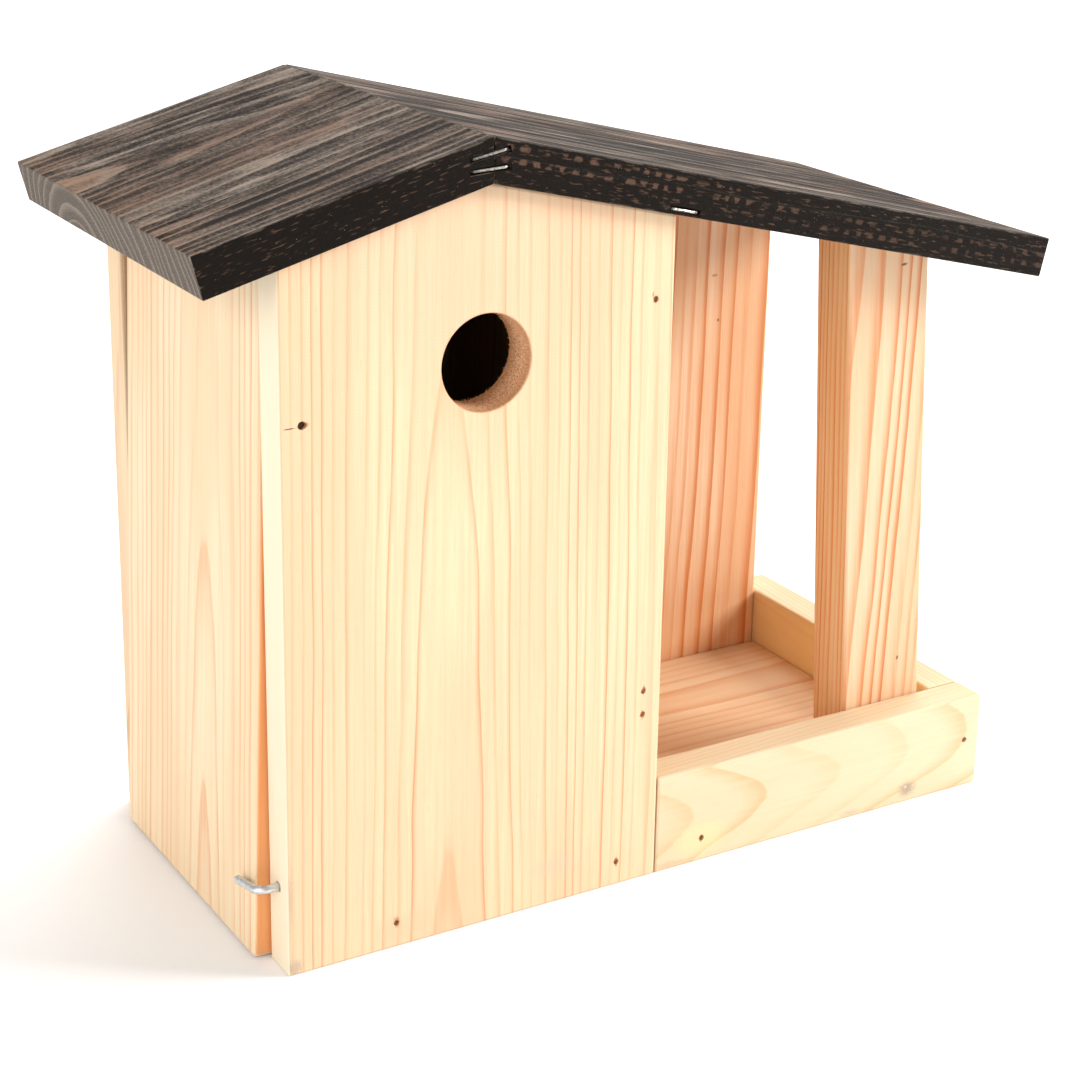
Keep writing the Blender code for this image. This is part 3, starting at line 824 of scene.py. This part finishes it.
@dataclass(frozen=True, kw_only=True)
class StainFinish(WoodFinish):
    """Pine under a dark stain that has worn off the raised grain and skipped the sawn edges in places."""

    dark: Colour
    pale: Colour
    bare: Colour
    worn: Colour
    end: Colour
    edge: Colour
    row_pitch: float = 4.2
    row_rise: float = 3.0
    row_fall: float = 0.022
    relief: float = 0.00022
    edge_width: float = 0.7
    edge_ragged: float = 0.5
    gloss: float = 0.08
    gloss_tint: Light = (1.0, 0.86, 0.74, 1.0)

    def dress(self, board: Board, grain: Grain, eave: float, patch_pitch: float, dashes: float) -> None:
        """Makes the material of one roof board and puts it on.

        Args:
            board: the board that wears it.
            grain: how the rings lie in the board.
            eave: 1 if the eave is at the upper end of the board's own axis along the grain, else -1.
            patch_pitch: distance between the skipped patches on its narrow sides, in millimetres.
            dashes: how much the skipped places run along the grain, from 0 to 1.
        """
        material, graph, shader = fresh_material(board.node + "_stain")
        place = graph.own_place(board.centre, board.turn)
        _, through, along = graph.split(place)
        to_eave = board.half.z - along * eave
        to_ridge = board.half.z + along * eave
        wood = self.lay_wood(place, board, grain, patch_pitch)

        fine = wood["fibre"].span(0.25, 0.75)
        speckle = graph.unevenness(place, (1.3, 0.9, 1.1), grain.seed, 2.0)
        smear = graph.unevenness(place, (3.8, 3.8, 26.0), grain.seed, 3.0)
        flame = graph.noise(place, (8.0, 8.0, 30.0), grain.seed, 2.0).span(0.54, 0.66)
        grit = graph.noise(place, (0.5, 0.5, 0.5), 2.0, 3.0)
        broken = graph.noise(place, (3.0, 3.0, 9.0), 8.0, 3.0).span(0.5, 0.6)
        glint = graph.noise(place, (0.5, 0.5, 0.6), 9.0, 0.0).span(0.83, 0.86)

        bands = wood["late"] * 0.44 + wood["tone"] * 0.5 + (wood["streak"] - 0.5) * 0.14
        light = bands * (0.78 + fine * 0.28) + speckle * 0.95 + smear * 1.35 + flame * 0.35
        warm = wood["cloud"].span(0.2, 0.9) * 0.6
        worn_wood = graph.blend(warm, self.pale, self.bare)
        tips = to_eave.span(1.0, 20.0, 1.0, 0.0) * wood["late"].span(0.45, 0.9)
        sawn_rings = graph.blend(wood["late"] * 0.85, self.end, self.pale)
        sawn_end = graph.blend(grit.span(0.4, 0.62, 0.0, 0.5), sawn_rings, self.dark)

        rows = self.in_rows(graph, wood["patch"], through, to_ridge)
        kept = graph.noise(place, (30.0, 4.0, 24.0), grain.seed, 1.0).span(0.34, 0.54)
        kept = kept * to_ridge.span(40.0, 170.0, 1.0, 0.6)
        patch = rows * kept * (grit * 0.85)
        dash = graph.noise(place, (20.0, 0.8, 4.6), grain.seed, 1.0).span(0.6, 0.76)
        skipped = graph.math("MAXIMUM", patch * (1.0 - dashes), dash * 0.3)
        layers = (
            Layer(light.span(-0.09, 1.25), worn_wood),
            Layer(tips * fine * 0.75, self.worn),
            Layer(wood["sawn"], sawn_end),
            Layer(wood["flank"], graph.blend(skipped, self.edge, self.bare)),
            # Pale broken line along the edges: partly worn stain, partly a painted highlight on the edge
            Layer(wood["edge"] * broken * 0.35, self.pale),
            Layer(glint * 0.7, self.pale),
        )
        colour = graph.coats(self.dark, layers)
        height = wood["fibre"] * 0.9 + wood["late"] * 0.8 + speckle
        rough = self.roughness + (wood["fibre"] - 0.5) * 0.5 - wood["late"] * 0.06
        shader.inputs["Specular IOR Level"].default_value = self.gloss
        shader.inputs["Specular Tint"].default_value = self.gloss_tint
        Surface(colour, rough, height, self.relief).feed(graph, shader)
        wear_finish(board.node, material)

    def in_rows(self, graph: Graph, patch: Flow, through: Flow, to_ridge: Flow) -> Flow:
        """Keeps the skipped patches to rows on a narrow side, which sink towards the eave.

        Args:
            graph: the material's nodes.
            patch: the patches' mask.
            through: each point's place through the board, in millimetres.
            to_ridge: its distance from the ridge, in millimetres.

        Returns:
            The mask of the patches in their rows.
        """
        middle = self.row_rise - to_ridge * self.row_fall
        rise = graph.math("ABSOLUTE", through - middle)
        rows = graph.math("COSINE", (through - 0.9) * (math.tau / self.row_pitch))
        return patch * rows.span(-0.3, 0.7) * rise.span(3.6, 4.6, 1.0, 0.0)


@dataclass(frozen=True)
class MetalFinish:
    """Small metal ware: bright zinc plating or browned steel."""

    name: str
    bright: Colour
    dull: Colour
    grime: Colour
    grime_strength: float
    roughness: float
    relief: float = 0.00003
    relief_strength: float = 0.6

    def dress(self, node: str, seed: float) -> None:
        """Makes the material of one metal piece and puts it on.

        Args:
            node: the piece that wears it.
            seed: shifts the pattern, so that no two pieces are alike.
        """
        low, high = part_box(node)
        material, graph, shader = fresh_material(f"{node}_{self.name}")
        wear = METAL.lay(graph.own_place((low + high) / 2), seed=seed)
        dirt = wear["grime"] * self.grime_strength
        colour = graph.blend(wear["spangle"] * 0.6, self.bright, self.dull)
        colour = graph.blend(dirt, colour, self.grime)
        rough = self.roughness + wear["grime"] * 0.25 + wear["scratch"] * 0.12
        height = wear["spangle"] * 0.4 - wear["scratch"] * 0.5
        graph.put(shader.inputs["Metallic"], 1.0 - dirt)
        Surface(colour, rough, height, self.relief, self.relief_strength).feed(graph, shader)
        wear_finish(node, material)


PLANK_PINE = PineFinish(
    early="E8D2AC",
    late="DCA67C",
    warm="E5BD98",
    line="D28E62",
    end="BB8C60",
    flat_fade=0.6,
    warm_strength=0.6,
    streak_strength=0.5,
)
DOOR_PINE = PineFinish(
    early="F0DFBC",
    late="E6B084",
    warm="EBCBA2",
    line="DC986A",
    end="BE885A",
    flank="FFC49A",
    flat_fade=0.4,
    line_strength=0.4,
    warm_strength=0.6,
    streak_strength=0.45,
)
# Partly the bay's own pine, partly painted shade and bounce light: darker and more orange than the plank, for
# the shade and warm bounce inside the bay
FEEDER_PINE_PAINTED_LIGHT_AND_SHADE = PineFinish(
    early="E8C8A5",
    late="D48751",
    warm="DEA778",
    line="B56935",
    end="BD8350",
    late_strength=1.0,
    line_strength=0.3,
    warm_strength=0.7,
    streak_strength=0.5,
)
FLOOR_PINE = PineFinish(
    early="E8CCA6",
    late="D99D6C",
    warm="E2BB90",
    line="CB8B58",
    end="BD8350",
    late_strength=0.55,
    line_strength=0.2,
    relief=0.0002,
)
POST_PINE = PineFinish(
    early="E2C8A6",
    late="DA8F5D",
    warm="E0B186",
    line="A65426",
    end="B07848",
    flank="FCF6E2",
    late_strength=1.15,
    line_strength=0.35,
)
RAIL_PINE = PineFinish(
    early="E2D0AF",
    late="DAB686",
    warm="DFC6A3",
    line="D6A279",
    end="BE8C60",
    late_strength=0.6,
    line_strength=0.15,
)
ROOF_STAIN = StainFinish(
    dark="1B120D",
    pale="98887A",
    bare="826250",
    worn="A67851",
    end="6A6056",
    edge="130F0C",
)
ZINC = MetalFinish(
    name="zinc",
    bright="E4E7EA",
    dull="C4C8CC",
    grime="8F8B86",
    grime_strength=0.25,
    roughness=0.3,
    relief=0.000012,
)
STAPLE_WIRE = MetalFinish(
    name="staple_wire",
    bright="C9C5BD",
    dull="86837E",
    grime="241F1C",
    grime_strength=0.95,
    roughness=0.35,
)
STEEL = MetalFinish(
    name="steel",
    bright="5A3C28",
    dull="3A2416",
    grime="2C160A",
    grime_strength=0.9,
    roughness=0.5,
)
RUST = MetalFinish(
    name="rusted_steel",
    bright="C07844",
    dull="A05C30",
    grime="7A401E",
    grime_strength=0.9,
    roughness=0.6,
)

UP = Vector((0.0, 0.0, 1.0))
RIGHTWARD = Vector((1.0, 0.0, 0.0))
BACKWARD = Vector((0.0, 1.0, 0.0))
TORN = "9A5A30"
DARK_TORN = "3A1E10"
RESIN = "EFD9A0"
HAND_GREY = "A89A8C"
# Painted shade: a dark brown laid on the nest's inner faces, which lie in shade inside the box
PAINTED_INSIDE_SHADE = "5C3A20"


def mesh_object(name: str, build: bmesh.types.BMesh, material: Material) -> Object:
    """Turns a working mesh into an object.

    Args:
        name: the piece's name.
        build: the working mesh, which is used up.
        material: what the piece wears.

    Returns:
        The new object.
    """
    mesh: Mesh = bpy.data.meshes.new(name)
    build.to_mesh(mesh)
    build.free()
    mesh.materials.append(material)
    made = bpy.data.objects.new(name, mesh)
    bpy.context.scene.collection.objects.link(made)
    return made


@dataclass(frozen=True)
class Splinter:
    """One torn fibre, a thin spike that is thickest near its root."""

    root: Vector
    tip: Vector
    width: float
    sides: int = 3
    swell: tuple[tuple[float, float], ...] = ((0.0, 0.7), (0.3, 1.0), (0.7, 0.55))

    def build(self, build: bmesh.types.BMesh) -> None:
        """Adds the spike to a working mesh. Each pair in swell is a share of its length and its width there.

        Args:
            build: the working mesh.
        """
        along = (self.tip - self.root).normalized()
        side = along.orthogonal().normalized()
        rings = []
        for share, thickness in self.swell:
            centre = self.root.lerp(self.tip, share)
            ring = []
            for turn in range(self.sides):
                spin = Matrix.Rotation(math.tau * turn / self.sides, 3, along)
                ring.append(build.verts.new(centre + spin @ side * self.width * thickness / 2))
            rings.append(ring)
        for first, second in zip(rings, rings[1:]):
            for turn in range(self.sides):
                after = (turn + 1) % self.sides
                build.faces.new((first[turn], first[after], second[after], second[turn]))
        point = build.verts.new(self.tip)
        for turn in range(self.sides):
            build.faces.new((rings[-1][turn], rings[-1][(turn + 1) % self.sides], point))
        build.faces.new(list(reversed(rings[0])))


@dataclass(frozen=True)
class FibreFinish:
    """Torn fibres, mottled at random between a brown and a pale tone."""

    root: Colour = "B98556"
    tip: Colour = "EBC79C"
    roughness: float = 0.6
    relief: float = 0.00005

    def make(self, name: str) -> Material:
        """Makes the material.

        Args:
            name: the piece that wears it.

        Returns:
            The material.
        """
        material, graph, shader = fresh_material(name)
        where = graph.out(graph.node("ShaderNodeTexCoord"), "Object")
        place = graph.move("DIVIDE", where, (MILLIMETRE, MILLIMETRE, MILLIMETRE))
        tone = graph.noise(place, (0.5, 0.5, 0.5), 2.0, 2.0).span(0.35, 0.65)
        colour = graph.blend(tone, self.root, self.tip)
        height = graph.noise(place, (0.1, 0.1, 0.1), 1.0, 2.0)
        Surface(colour, self.roughness + tone * 0.2, height, self.relief).feed(graph, shader)
        return material


@dataclass
class NestShell:
    """The two gabled planks and the partition, and the torn wood of the entrance."""

    entrance_x: float = 0.0758
    entrance_z: float = 0.2095
    entrance_radius: float = 0.017
    face_tolerance: float = 0.0001
    search_share: float = 1.2
    plank_thickness: float = 0.015
    torn_fibres: int = 230
    torn_length: float = 0.0009
    torn_width: float = 0.00022
    torn_rooted: float = 0.0001
    torn_inset: float = 0.0008
    torn_shortest: float = 0.25
    torn_swing: float = 0.05
    torn_lean: tuple[float, float] = (0.3, 0.9)
    torn_spread: tuple[float, float] = (0.6, 1.6)
    torn_seed: int = 5

    def measure(self) -> None:
        """Takes the entrance's place from the front plank's own mesh."""
        low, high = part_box("front_panel")
        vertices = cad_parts["front_panel"].data.vertices
        face = [v.co for v in vertices if abs(v.co.y - low.y) < self.face_tolerance]
        middle = in_frame((self.entrance_x, 0.0, self.entrance_z))
        near = [co for co in face if (co - middle).length < self.entrance_radius * self.search_share]
        across = [co.x for co in near]
        upward = [co.z for co in near]
        self.entrance_x = (min(across) + max(across)) / 2 - PLAN_CORNER.x
        self.entrance_z = (min(upward) + max(upward)) / 2 - PLAN_CORNER.z
        LOG.info("entrance at %.4f %.4f under %.4f", self.entrance_x, self.entrance_z, high.z)

    def dress(self) -> None:
        """Gives the planks their finish."""
        front = Board("front_panel", UP, RIGHTWARD)
        grain = Grain(pith=(-13.0, 12.3), lean=(0.0, 0.0276), ring=4.2, waver=1.0, seed=2.3, start=0.55)
        bore = Bore(self.entrance_x, self.entrance_z, self.entrance_radius)
        PLANK_PINE.dress(front, grain, self.front_marks(), bore)
        back = Board("nest_back", UP, RIGHTWARD)
        grain = Grain(pith=(18.0, -16.0), lean=(0.02, -0.03), ring=4.0, waver=1.2, seed=7.9)
        # Painted shade on the back plank's inner face
        inner = Mark("inner face", (0.075, 0.135, 0.13), (260.0, 2.5, 330.0), PAINTED_INSIDE_SHADE, 0.7, 0.9, 0.1)
        PLANK_PINE.dress(back, grain, (inner,))
        wall = Board("partition", UP, BACKWARD)
        grain = Grain(pith=(-8.0, 22.0), lean=(0.0, 0.04), ring=3.8, waver=1.1, seed=4.4)
        # Painted shade on the partition's inner face
        inner = Mark("inner face", (0.135, 0.075, 0.13), (2.5, 260.0, 330.0), PAINTED_INSIDE_SHADE, 0.7, 0.9, 0.1)
        FEEDER_PINE_PAINTED_LIGHT_AND_SHADE.dress(wall, grain, (inner,))

    def front_marks(self) -> tuple[Mark, ...]:
        """Lists the marks on the front plank.

        Returns:
            The marks, from the lowest layer up.
        """
        pale_side = "F6EBD0"
        return (
            Mark("pivot's split", (0.0036, 0.0, 0.1974), (2.9, 2.5, 0.32), DARK_TORN, 0.8, 0.6, 0.7, 1.5),
            Mark("pivot nail", (0.0086, 0.0, 0.1979), (2.6, 2.5, 1.25), TORN, 0.85, 0.6, 0.9, 1.0),
            Mark("high brad", (0.1423, 0.0, 0.2233), (1.2, 2.0, 1.7), TORN, 0.85, 0.6, 1.0, 1.0),
            Mark("tear over it", (0.1412, 0.0, 0.2252), (0.5, 2.0, 1.5), TORN, 0.6, 0.6, 0.9, 1.0),
            Mark("low brad", (0.1426, 0.0, 0.0764), (1.0, 2.0, 2.3), TORN, 0.85, 0.6, 1.0, 1.0),
            Mark("lowest brad", (0.1422, 0.0, 0.0668), (1.2, 2.0, 2.3), TORN, 0.75, 0.6, 1.1, 1.0),
            Mark("left foot brad", (0.0415, 0.0, 0.0099), (1.5, 2.0, 2.7), TORN, 0.8, 0.6, 1.0, 1.0),
            Mark("right foot brad", (0.1327, 0.0, 0.0095), (1.2, 2.0, 2.6), TORN, 0.75, 0.6, 1.0, 1.0),
            Mark("dirty corner", (0.0024, 0.0, 0.0030), (4.4, 4.0, 4.2), HAND_GREY, 0.55, 0.8, 0.8),
            Mark("warm foot", (0.0430, 0.0, 0.0070), (16.0, 3.0, 8.0), "E6B896", 0.35, 0.9, 0.6),
            Mark("pink foot", (0.1050, 0.0, 0.0150), (13.0, 3.0, 7.0), "DDB9A4", 0.35, 0.9, 0.8),
            Mark("dirty edge", (0.0012, 0.0, 0.0300), (1.8, 3.0, 16.0), HAND_GREY, 0.3, 0.9, 1.0),
            Mark("pale side", (0.0, 0.0075, 0.1250), (0.6, 60.0, 600.0), pale_side, 0.7, 0.4, 0.1),
            # Painted shade: the top of the plank under the roof is painted darker and warmer
            Mark("painted shade under the roof", (0.0700, 0.0, 0.2500), (85.0, 3.0, 62.0), "E6AC90", 0.25, 0.9, 0.2),
            Mark("hook", (0.0, 0.0071, 0.0313), (1.5, 2.3, 2.2), TORN, 0.7, 0.6, 0.9, 1.0),
            # Partly a real tear, partly painted shade under the hook
            Mark("tear by the hook with painted shade", (0.0, 0.0062, 0.0303), (1.0, 0.6, 0.5), DARK_TORN, 0.8, 0.6, 0.5),
        )

    def tear_entrance(self) -> None:
        """Builds the torn fibres that the drill left round the entrance's inner rim."""
        dice = random.Random(self.torn_seed)
        build = bmesh.new()
        middle = in_frame((self.entrance_x, 0.0, self.entrance_z))
        rooted = self.entrance_radius + self.torn_rooted
        depth = self.plank_thickness - self.torn_inset
        for index in range(self.torn_fibres):
            turn = math.tau * (index + dice.random()) / self.torn_fibres
            reach = self.torn_length * (self.torn_shortest + dice.random() ** 2)
            root = Vector((math.cos(turn) * rooted, depth, math.sin(turn) * rooted))
            swing = turn + dice.uniform(-self.torn_swing, self.torn_swing)
            inward = self.entrance_radius - reach * dice.uniform(*self.torn_lean)
            tip = Vector((math.cos(swing) * inward, root.y + reach, math.sin(swing) * inward))
            width = self.torn_width * dice.uniform(*self.torn_spread)
            Splinter(middle + root, middle + tip, width).build(build)
        name = "entrance_torn_fibres"
        piece = mesh_object(name, build, FibreFinish().make(name))
        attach(piece, Body.BOX.value)
        LOG.info("built %s", piece.name)


@dataclass
class FeederBay:
    """Back board, floor, rails and leaning post of the feeder."""

    post_lean_deg: float = 3.0

    def dress(self) -> None:
        """Gives the feeder's boards their finish."""
        back = Board("feeder_back", UP, RIGHTWARD)
        grain = Grain(pith=(-56.0, 22.5), lean=(0.0, -0.09), ring=6.6, waver=1.0, seed=1.2, start=0.3)
        marks = (
            Mark("small knot", (0.2627, 0.135, 0.1873), (1.8, 1.5, 0.8), TORN, 0.6, 0.6, 0.9, 0.5),
            Mark("dark fleck", (0.2652, 0.135, 0.1674), (0.8, 1.5, 0.9), DARK_TORN, 0.7, 0.6, 0.6, 0.5),
        )
        FEEDER_PINE_PAINTED_LIGHT_AND_SHADE.dress(back, grain, marks)
        floor = Board("base_board", RIGHTWARD, BACKWARD)
        grain = Grain(pith=(20.0, -10.5), lean=(0.01, 0.03), ring=5.2, waver=1.5, seed=6.1, start=0.3)
        FLOOR_PINE.dress(floor, grain)
        self.dress_rails()
        self.dress_post()

    def dress_rails(self) -> None:
        """Gives the two rails their finish."""
        front = Board("front_rail", RIGHTWARD, UP)
        grain = Grain(pith=(4.0, -72.5), lean=(0.05, -0.08), ring=2.6, waver=0.8, seed=3.4, start=0.45)
        marks = (
            Mark("grey knot", (0.2705, 0.0, 0.0056), (6.0, 2.5, 4.6), "9C8B7A", 0.75, 0.9, 0.8, 0.6),
            # Painted highlight: a pale spot on the grey knot
            Mark("painted highlight on the knot", (0.2698, 0.0, 0.0066), (1.0, 1.5, 0.9), "EFE6DA", 0.6, 0.9, 0.8),
            Mark("resin", (0.1708, 0.0, 0.0094), (15.0, 3.0, 8.5), RESIN, 0.5, 0.6, 0.9),
            Mark("brad into the floor", (0.1708, 0.0, 0.0094), (1.3, 2.0, 2.1), TORN, 0.8, 0.6, 1.0, 1.0),
            Mark("corner brad", (0.2990, 0.0, 0.0205), (1.6, 2.0, 1.3), TORN, 0.75, 0.6, 0.9, 1.0),
            Mark("warm edge", (0.1560, 0.0, 0.0020), (9.0, 2.0, 2.4), "E3A883", 0.5, 0.8, 1.1),
            Mark("dirty edge", (0.2420, 0.0, 0.0020), (7.0, 2.0, 2.0), HAND_GREY, 0.35, 0.9, 1.1),
        )
        RAIL_PINE.dress(front, grain, marks)
        side = Board("right_rail", BACKWARD, UP)
        grain = Grain(pith=(-10.0, -58.0), lean=(0.02, 0.03), ring=2.4, waver=0.7, seed=9.2)
        # Painted bounce light: the rail's inner face is lit up warm as if by light bouncing inside the bay
        warm = "FFE6A2"
        inner = Mark("inner face", (0.2905, 0.075, 0.020), (2.6, 150.0, 60.0), warm, 0.84, 0.9, 0.1)
        RAIL_PINE.dress(side, grain, (inner,))

    def dress_post(self) -> None:
        """Gives the leaning post its finish."""
        lean = math.radians(self.post_lean_deg)
        along = Vector((-math.sin(lean), 0.0, math.cos(lean)))
        across = Vector((math.cos(lean), 0.0, math.sin(lean)))
        grain = Grain(pith=(-40.0, 95.0), lean=(0.09, 0.0), ring=2.4, waver=0.5, seed=5.5, start=0.25)
        marks = (
            Mark("dark split", (0.2646, 0.0153, 0.2186), (2.0, 1.5, 0.6), DARK_TORN, 0.8, 0.6, 0.9, 1.0),
            Mark("dark fleck", (0.2740, 0.0153, 0.0560), (0.9, 1.5, 1.2), DARK_TORN, 0.7, 0.6, 0.6, 0.5),
        )
        POST_PINE.dress(Board("corner_post", along, across), grain, marks)


@dataclass
class StainedRoof:
    """The two stained boards and the staples across their joints."""

    left_pitch_deg: float = 14.8
    right_pitch_deg: float = 13.75
    left_patch_pitch: float = 5.4
    right_patch_pitch: float = 6.0
    seed_step: float = 1.3
    staples: tuple[str, ...] = (
        "ridge_staple_front_upper",
        "ridge_staple_front_lower",
        "ridge_staple_back_upper",
        "ridge_staple_back_lower",
        "roof_edge_staple",
    )

    def dress(self) -> None:
        """Gives the roof boards their stain and the staples their zinc."""
        pitch = math.radians(self.left_pitch_deg)
        left = Board("roof_left", Vector((math.cos(pitch), 0.0, math.sin(pitch))), BACKWARD)
        grain = Grain(pith=(30.0, -27.0), lean=(0.02, -0.06), ring=5.0, waver=2.1, seed=3.1)
        ROOF_STAIN.dress(left, grain, -1.0, self.left_patch_pitch, 1.0)
        pitch = math.radians(self.right_pitch_deg)
        right = Board("roof_right", Vector((math.cos(pitch), 0.0, -math.sin(pitch))), BACKWARD)
        grain = Grain(pith=(-10.0, -48.0), lean=(0.02, 0.02), ring=4.4, waver=1.8, seed=8.6)
        ROOF_STAIN.dress(right, grain, 1.0, self.right_patch_pitch, 0.0)
        for index, node in enumerate(self.staples):
            STAPLE_WIRE.dress(node, self.seed_step * index)


@dataclass
class CleaningDoor:
    """The side panel, the nails that it turns on and the hook that latches it."""

    rest_tilt_deg: float = 1.9
    hook_seed: float = 2.2
    nail_seed: float = 0.7
    nails: tuple[str, ...] = ("door_pivot_nail_front", "door_pivot_nail_back")

    def dress(self) -> None:
        """Gives the door its pine, the hook its zinc and the nails their steel."""
        tilt = math.radians(self.rest_tilt_deg)
        door = Board("side_door", Vector((math.sin(tilt), 0.0, math.cos(tilt))), BACKWARD)
        grain = Grain(pith=(-15.0, -13.6), lean=(0.0, -0.0304), ring=4.5, waver=1.1, seed=1.7)
        DOOR_PINE.dress(door, grain)
        ZINC.dress("latch_hook", self.hook_seed)
        for index, node in enumerate(self.nails):
            STEEL.dress(node, self.nail_seed + index)


@dataclass
class Brads:
    """Every brad that holds the boards together."""

    seed_step: float = 0.9

    def dress(self) -> None:
        """Finds the brads in the frame by their names and gives each its browned steel."""
        nodes = sorted(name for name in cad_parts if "brad" in name)
        for index, node in enumerate(nodes):
            RUST.dress(node, self.seed_step * index)


@dataclass(frozen=True)
class SoftBox:
    """A square lamp: its place and side in metres and its power in watts."""

    name: str
    place: Point
    side: float
    power: float

    def hang(self, aim: Vector) -> None:
        """Hangs the lamp and turns it to what it lights.

        Args:
            aim: the place that it faces.
        """
        data = bpy.data.lights.new(self.name, "AREA")
        data.shape = "SQUARE"
        data.size = self.side
        data.energy = self.power
        lamp = bpy.data.objects.new(self.name, data)
        lamp.location = self.place
        lamp.rotation_euler = (aim - Vector(self.place)).to_track_quat("-Z", "Y").to_euler()
        bpy.context.scene.collection.objects.link(lamp)


@dataclass
class Studio:
    """Pale floor, soft light and the camera at the photograph's place."""

    picture: float = 1080.0
    sensor: float = 36.0
    yaw: float = 0.5412938786
    pitch: float = -0.3065579069
    roll: float = 0.0172289753
    eye: Point = (-0.29021, -0.64339, 0.42773)
    focal_pixels: float = 2323.42
    optical_row: float = 410.0
    nearest_seen: float = 0.01
    floor_radius: float = 6.0
    floor_sides: int = 96
    floor_pale: Light = (0.94, 0.94, 0.94, 1.0)
    floor_palest: Light = (0.97, 0.97, 0.97, 1.0)
    floor_cloud: float = 0.6
    floor_roughness: float = 0.9
    floor_gloss: float = 0.1
    floor_glow: float = 0.06
    aim_height: float = 0.12
    surround_strength: float = 0.52
    lamps: tuple[SoftBox, ...] = (
        SoftBox("front_softbox", (-2.0, -1.65, 1.1), 1.5, 6.0),
        SoftBox("side_softbox", (-2.2, -0.6, 0.9), 1.6, 22.0),
        SoftBox("key_softbox", (2.38, -1.27, 1.43), 1.2, 99.0),
        SoftBox("top_softbox", (1.6, 1.8, 3.4), 3.0, 112.0),
    )

    def light(self) -> None:
        """Sets a pale even surround and hangs the soft boxes."""
        world = bpy.data.worlds.new("surround")
        world.use_nodes = True
        surround = world.node_tree.nodes["Background"]
        surround.inputs["Color"].default_value = (1.0, 1.0, 1.0, 1.0)
        surround.inputs["Strength"].default_value = self.surround_strength
        bpy.context.scene.world = world
        for lamp in self.lamps:
            lamp.hang(Vector((0.0, 0.0, self.aim_height)))
        bpy.context.scene.view_settings.view_transform = "Standard"

    def lay_floor(self) -> None:
        """Lays the pale floor."""
        build = bmesh.new()
        bmesh.ops.create_circle(build, cap_ends=True, segments=self.floor_sides, radius=self.floor_radius)
        material, graph, shader = fresh_material("pale_floor")
        where = graph.out(graph.node("ShaderNodeTexCoord"), "Object")
        cloud = graph.noise(where, (self.floor_cloud,) * 3, 1.0, 3.0)
        graph.put(shader.inputs["Base Color"], graph.blend(cloud, self.floor_pale, self.floor_palest))
        shader.inputs["Roughness"].default_value = self.floor_roughness
        shader.inputs["Specular IOR Level"].default_value = self.floor_gloss
        shader.inputs["Emission Color"].default_value = (1.0, 1.0, 1.0, 1.0)
        shader.inputs["Emission Strength"].default_value = self.floor_glow
        mesh_object("pale_floor", build, material)

    def set_camera(self) -> None:
        """Sets the camera where the photograph was taken from."""
        heading = Vector((math.sin(self.yaw), math.cos(self.yaw), 0.0))
        forward = heading * math.cos(self.pitch) + UP * math.sin(self.pitch)
        level = Vector((math.cos(self.yaw), -math.sin(self.yaw), 0.0))
        upright = level.cross(forward)
        right = level * math.cos(self.roll) + upright * math.sin(self.roll)
        upward = upright * math.cos(self.roll) - level * math.sin(self.roll)
        data = bpy.data.cameras.new("camera")
        data.sensor_fit = "HORIZONTAL"
        data.sensor_width = self.sensor
        data.lens = self.focal_pixels / self.picture * self.sensor
        data.shift_y = (self.optical_row - self.picture / 2) / self.picture
        data.clip_start = self.nearest_seen
        camera = bpy.data.objects.new("camera", data)
        turn = Matrix((right, upward, -forward)).transposed().to_4x4()
        camera.matrix_world = Matrix.Translation(in_frame(self.eye)) @ turn
        bpy.context.scene.collection.objects.link(camera)
        bpy.context.scene.camera = camera


def main() -> None:
    """Builds and dresses every sub-assembly in order."""
    logging.basicConfig(level=logging.INFO, format="%(message)s")
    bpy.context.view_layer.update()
    studio = Studio()
    studio.set_camera()
    studio.light()
    studio.lay_floor()
    shell = NestShell()
    shell.measure()
    shell.dress()
    shell.tear_entrance()
    FeederBay().dress()
    StainedRoof().dress()
    CleaningDoor().dress()
    Brads().dress()


if __name__ == "__main__":
    main()
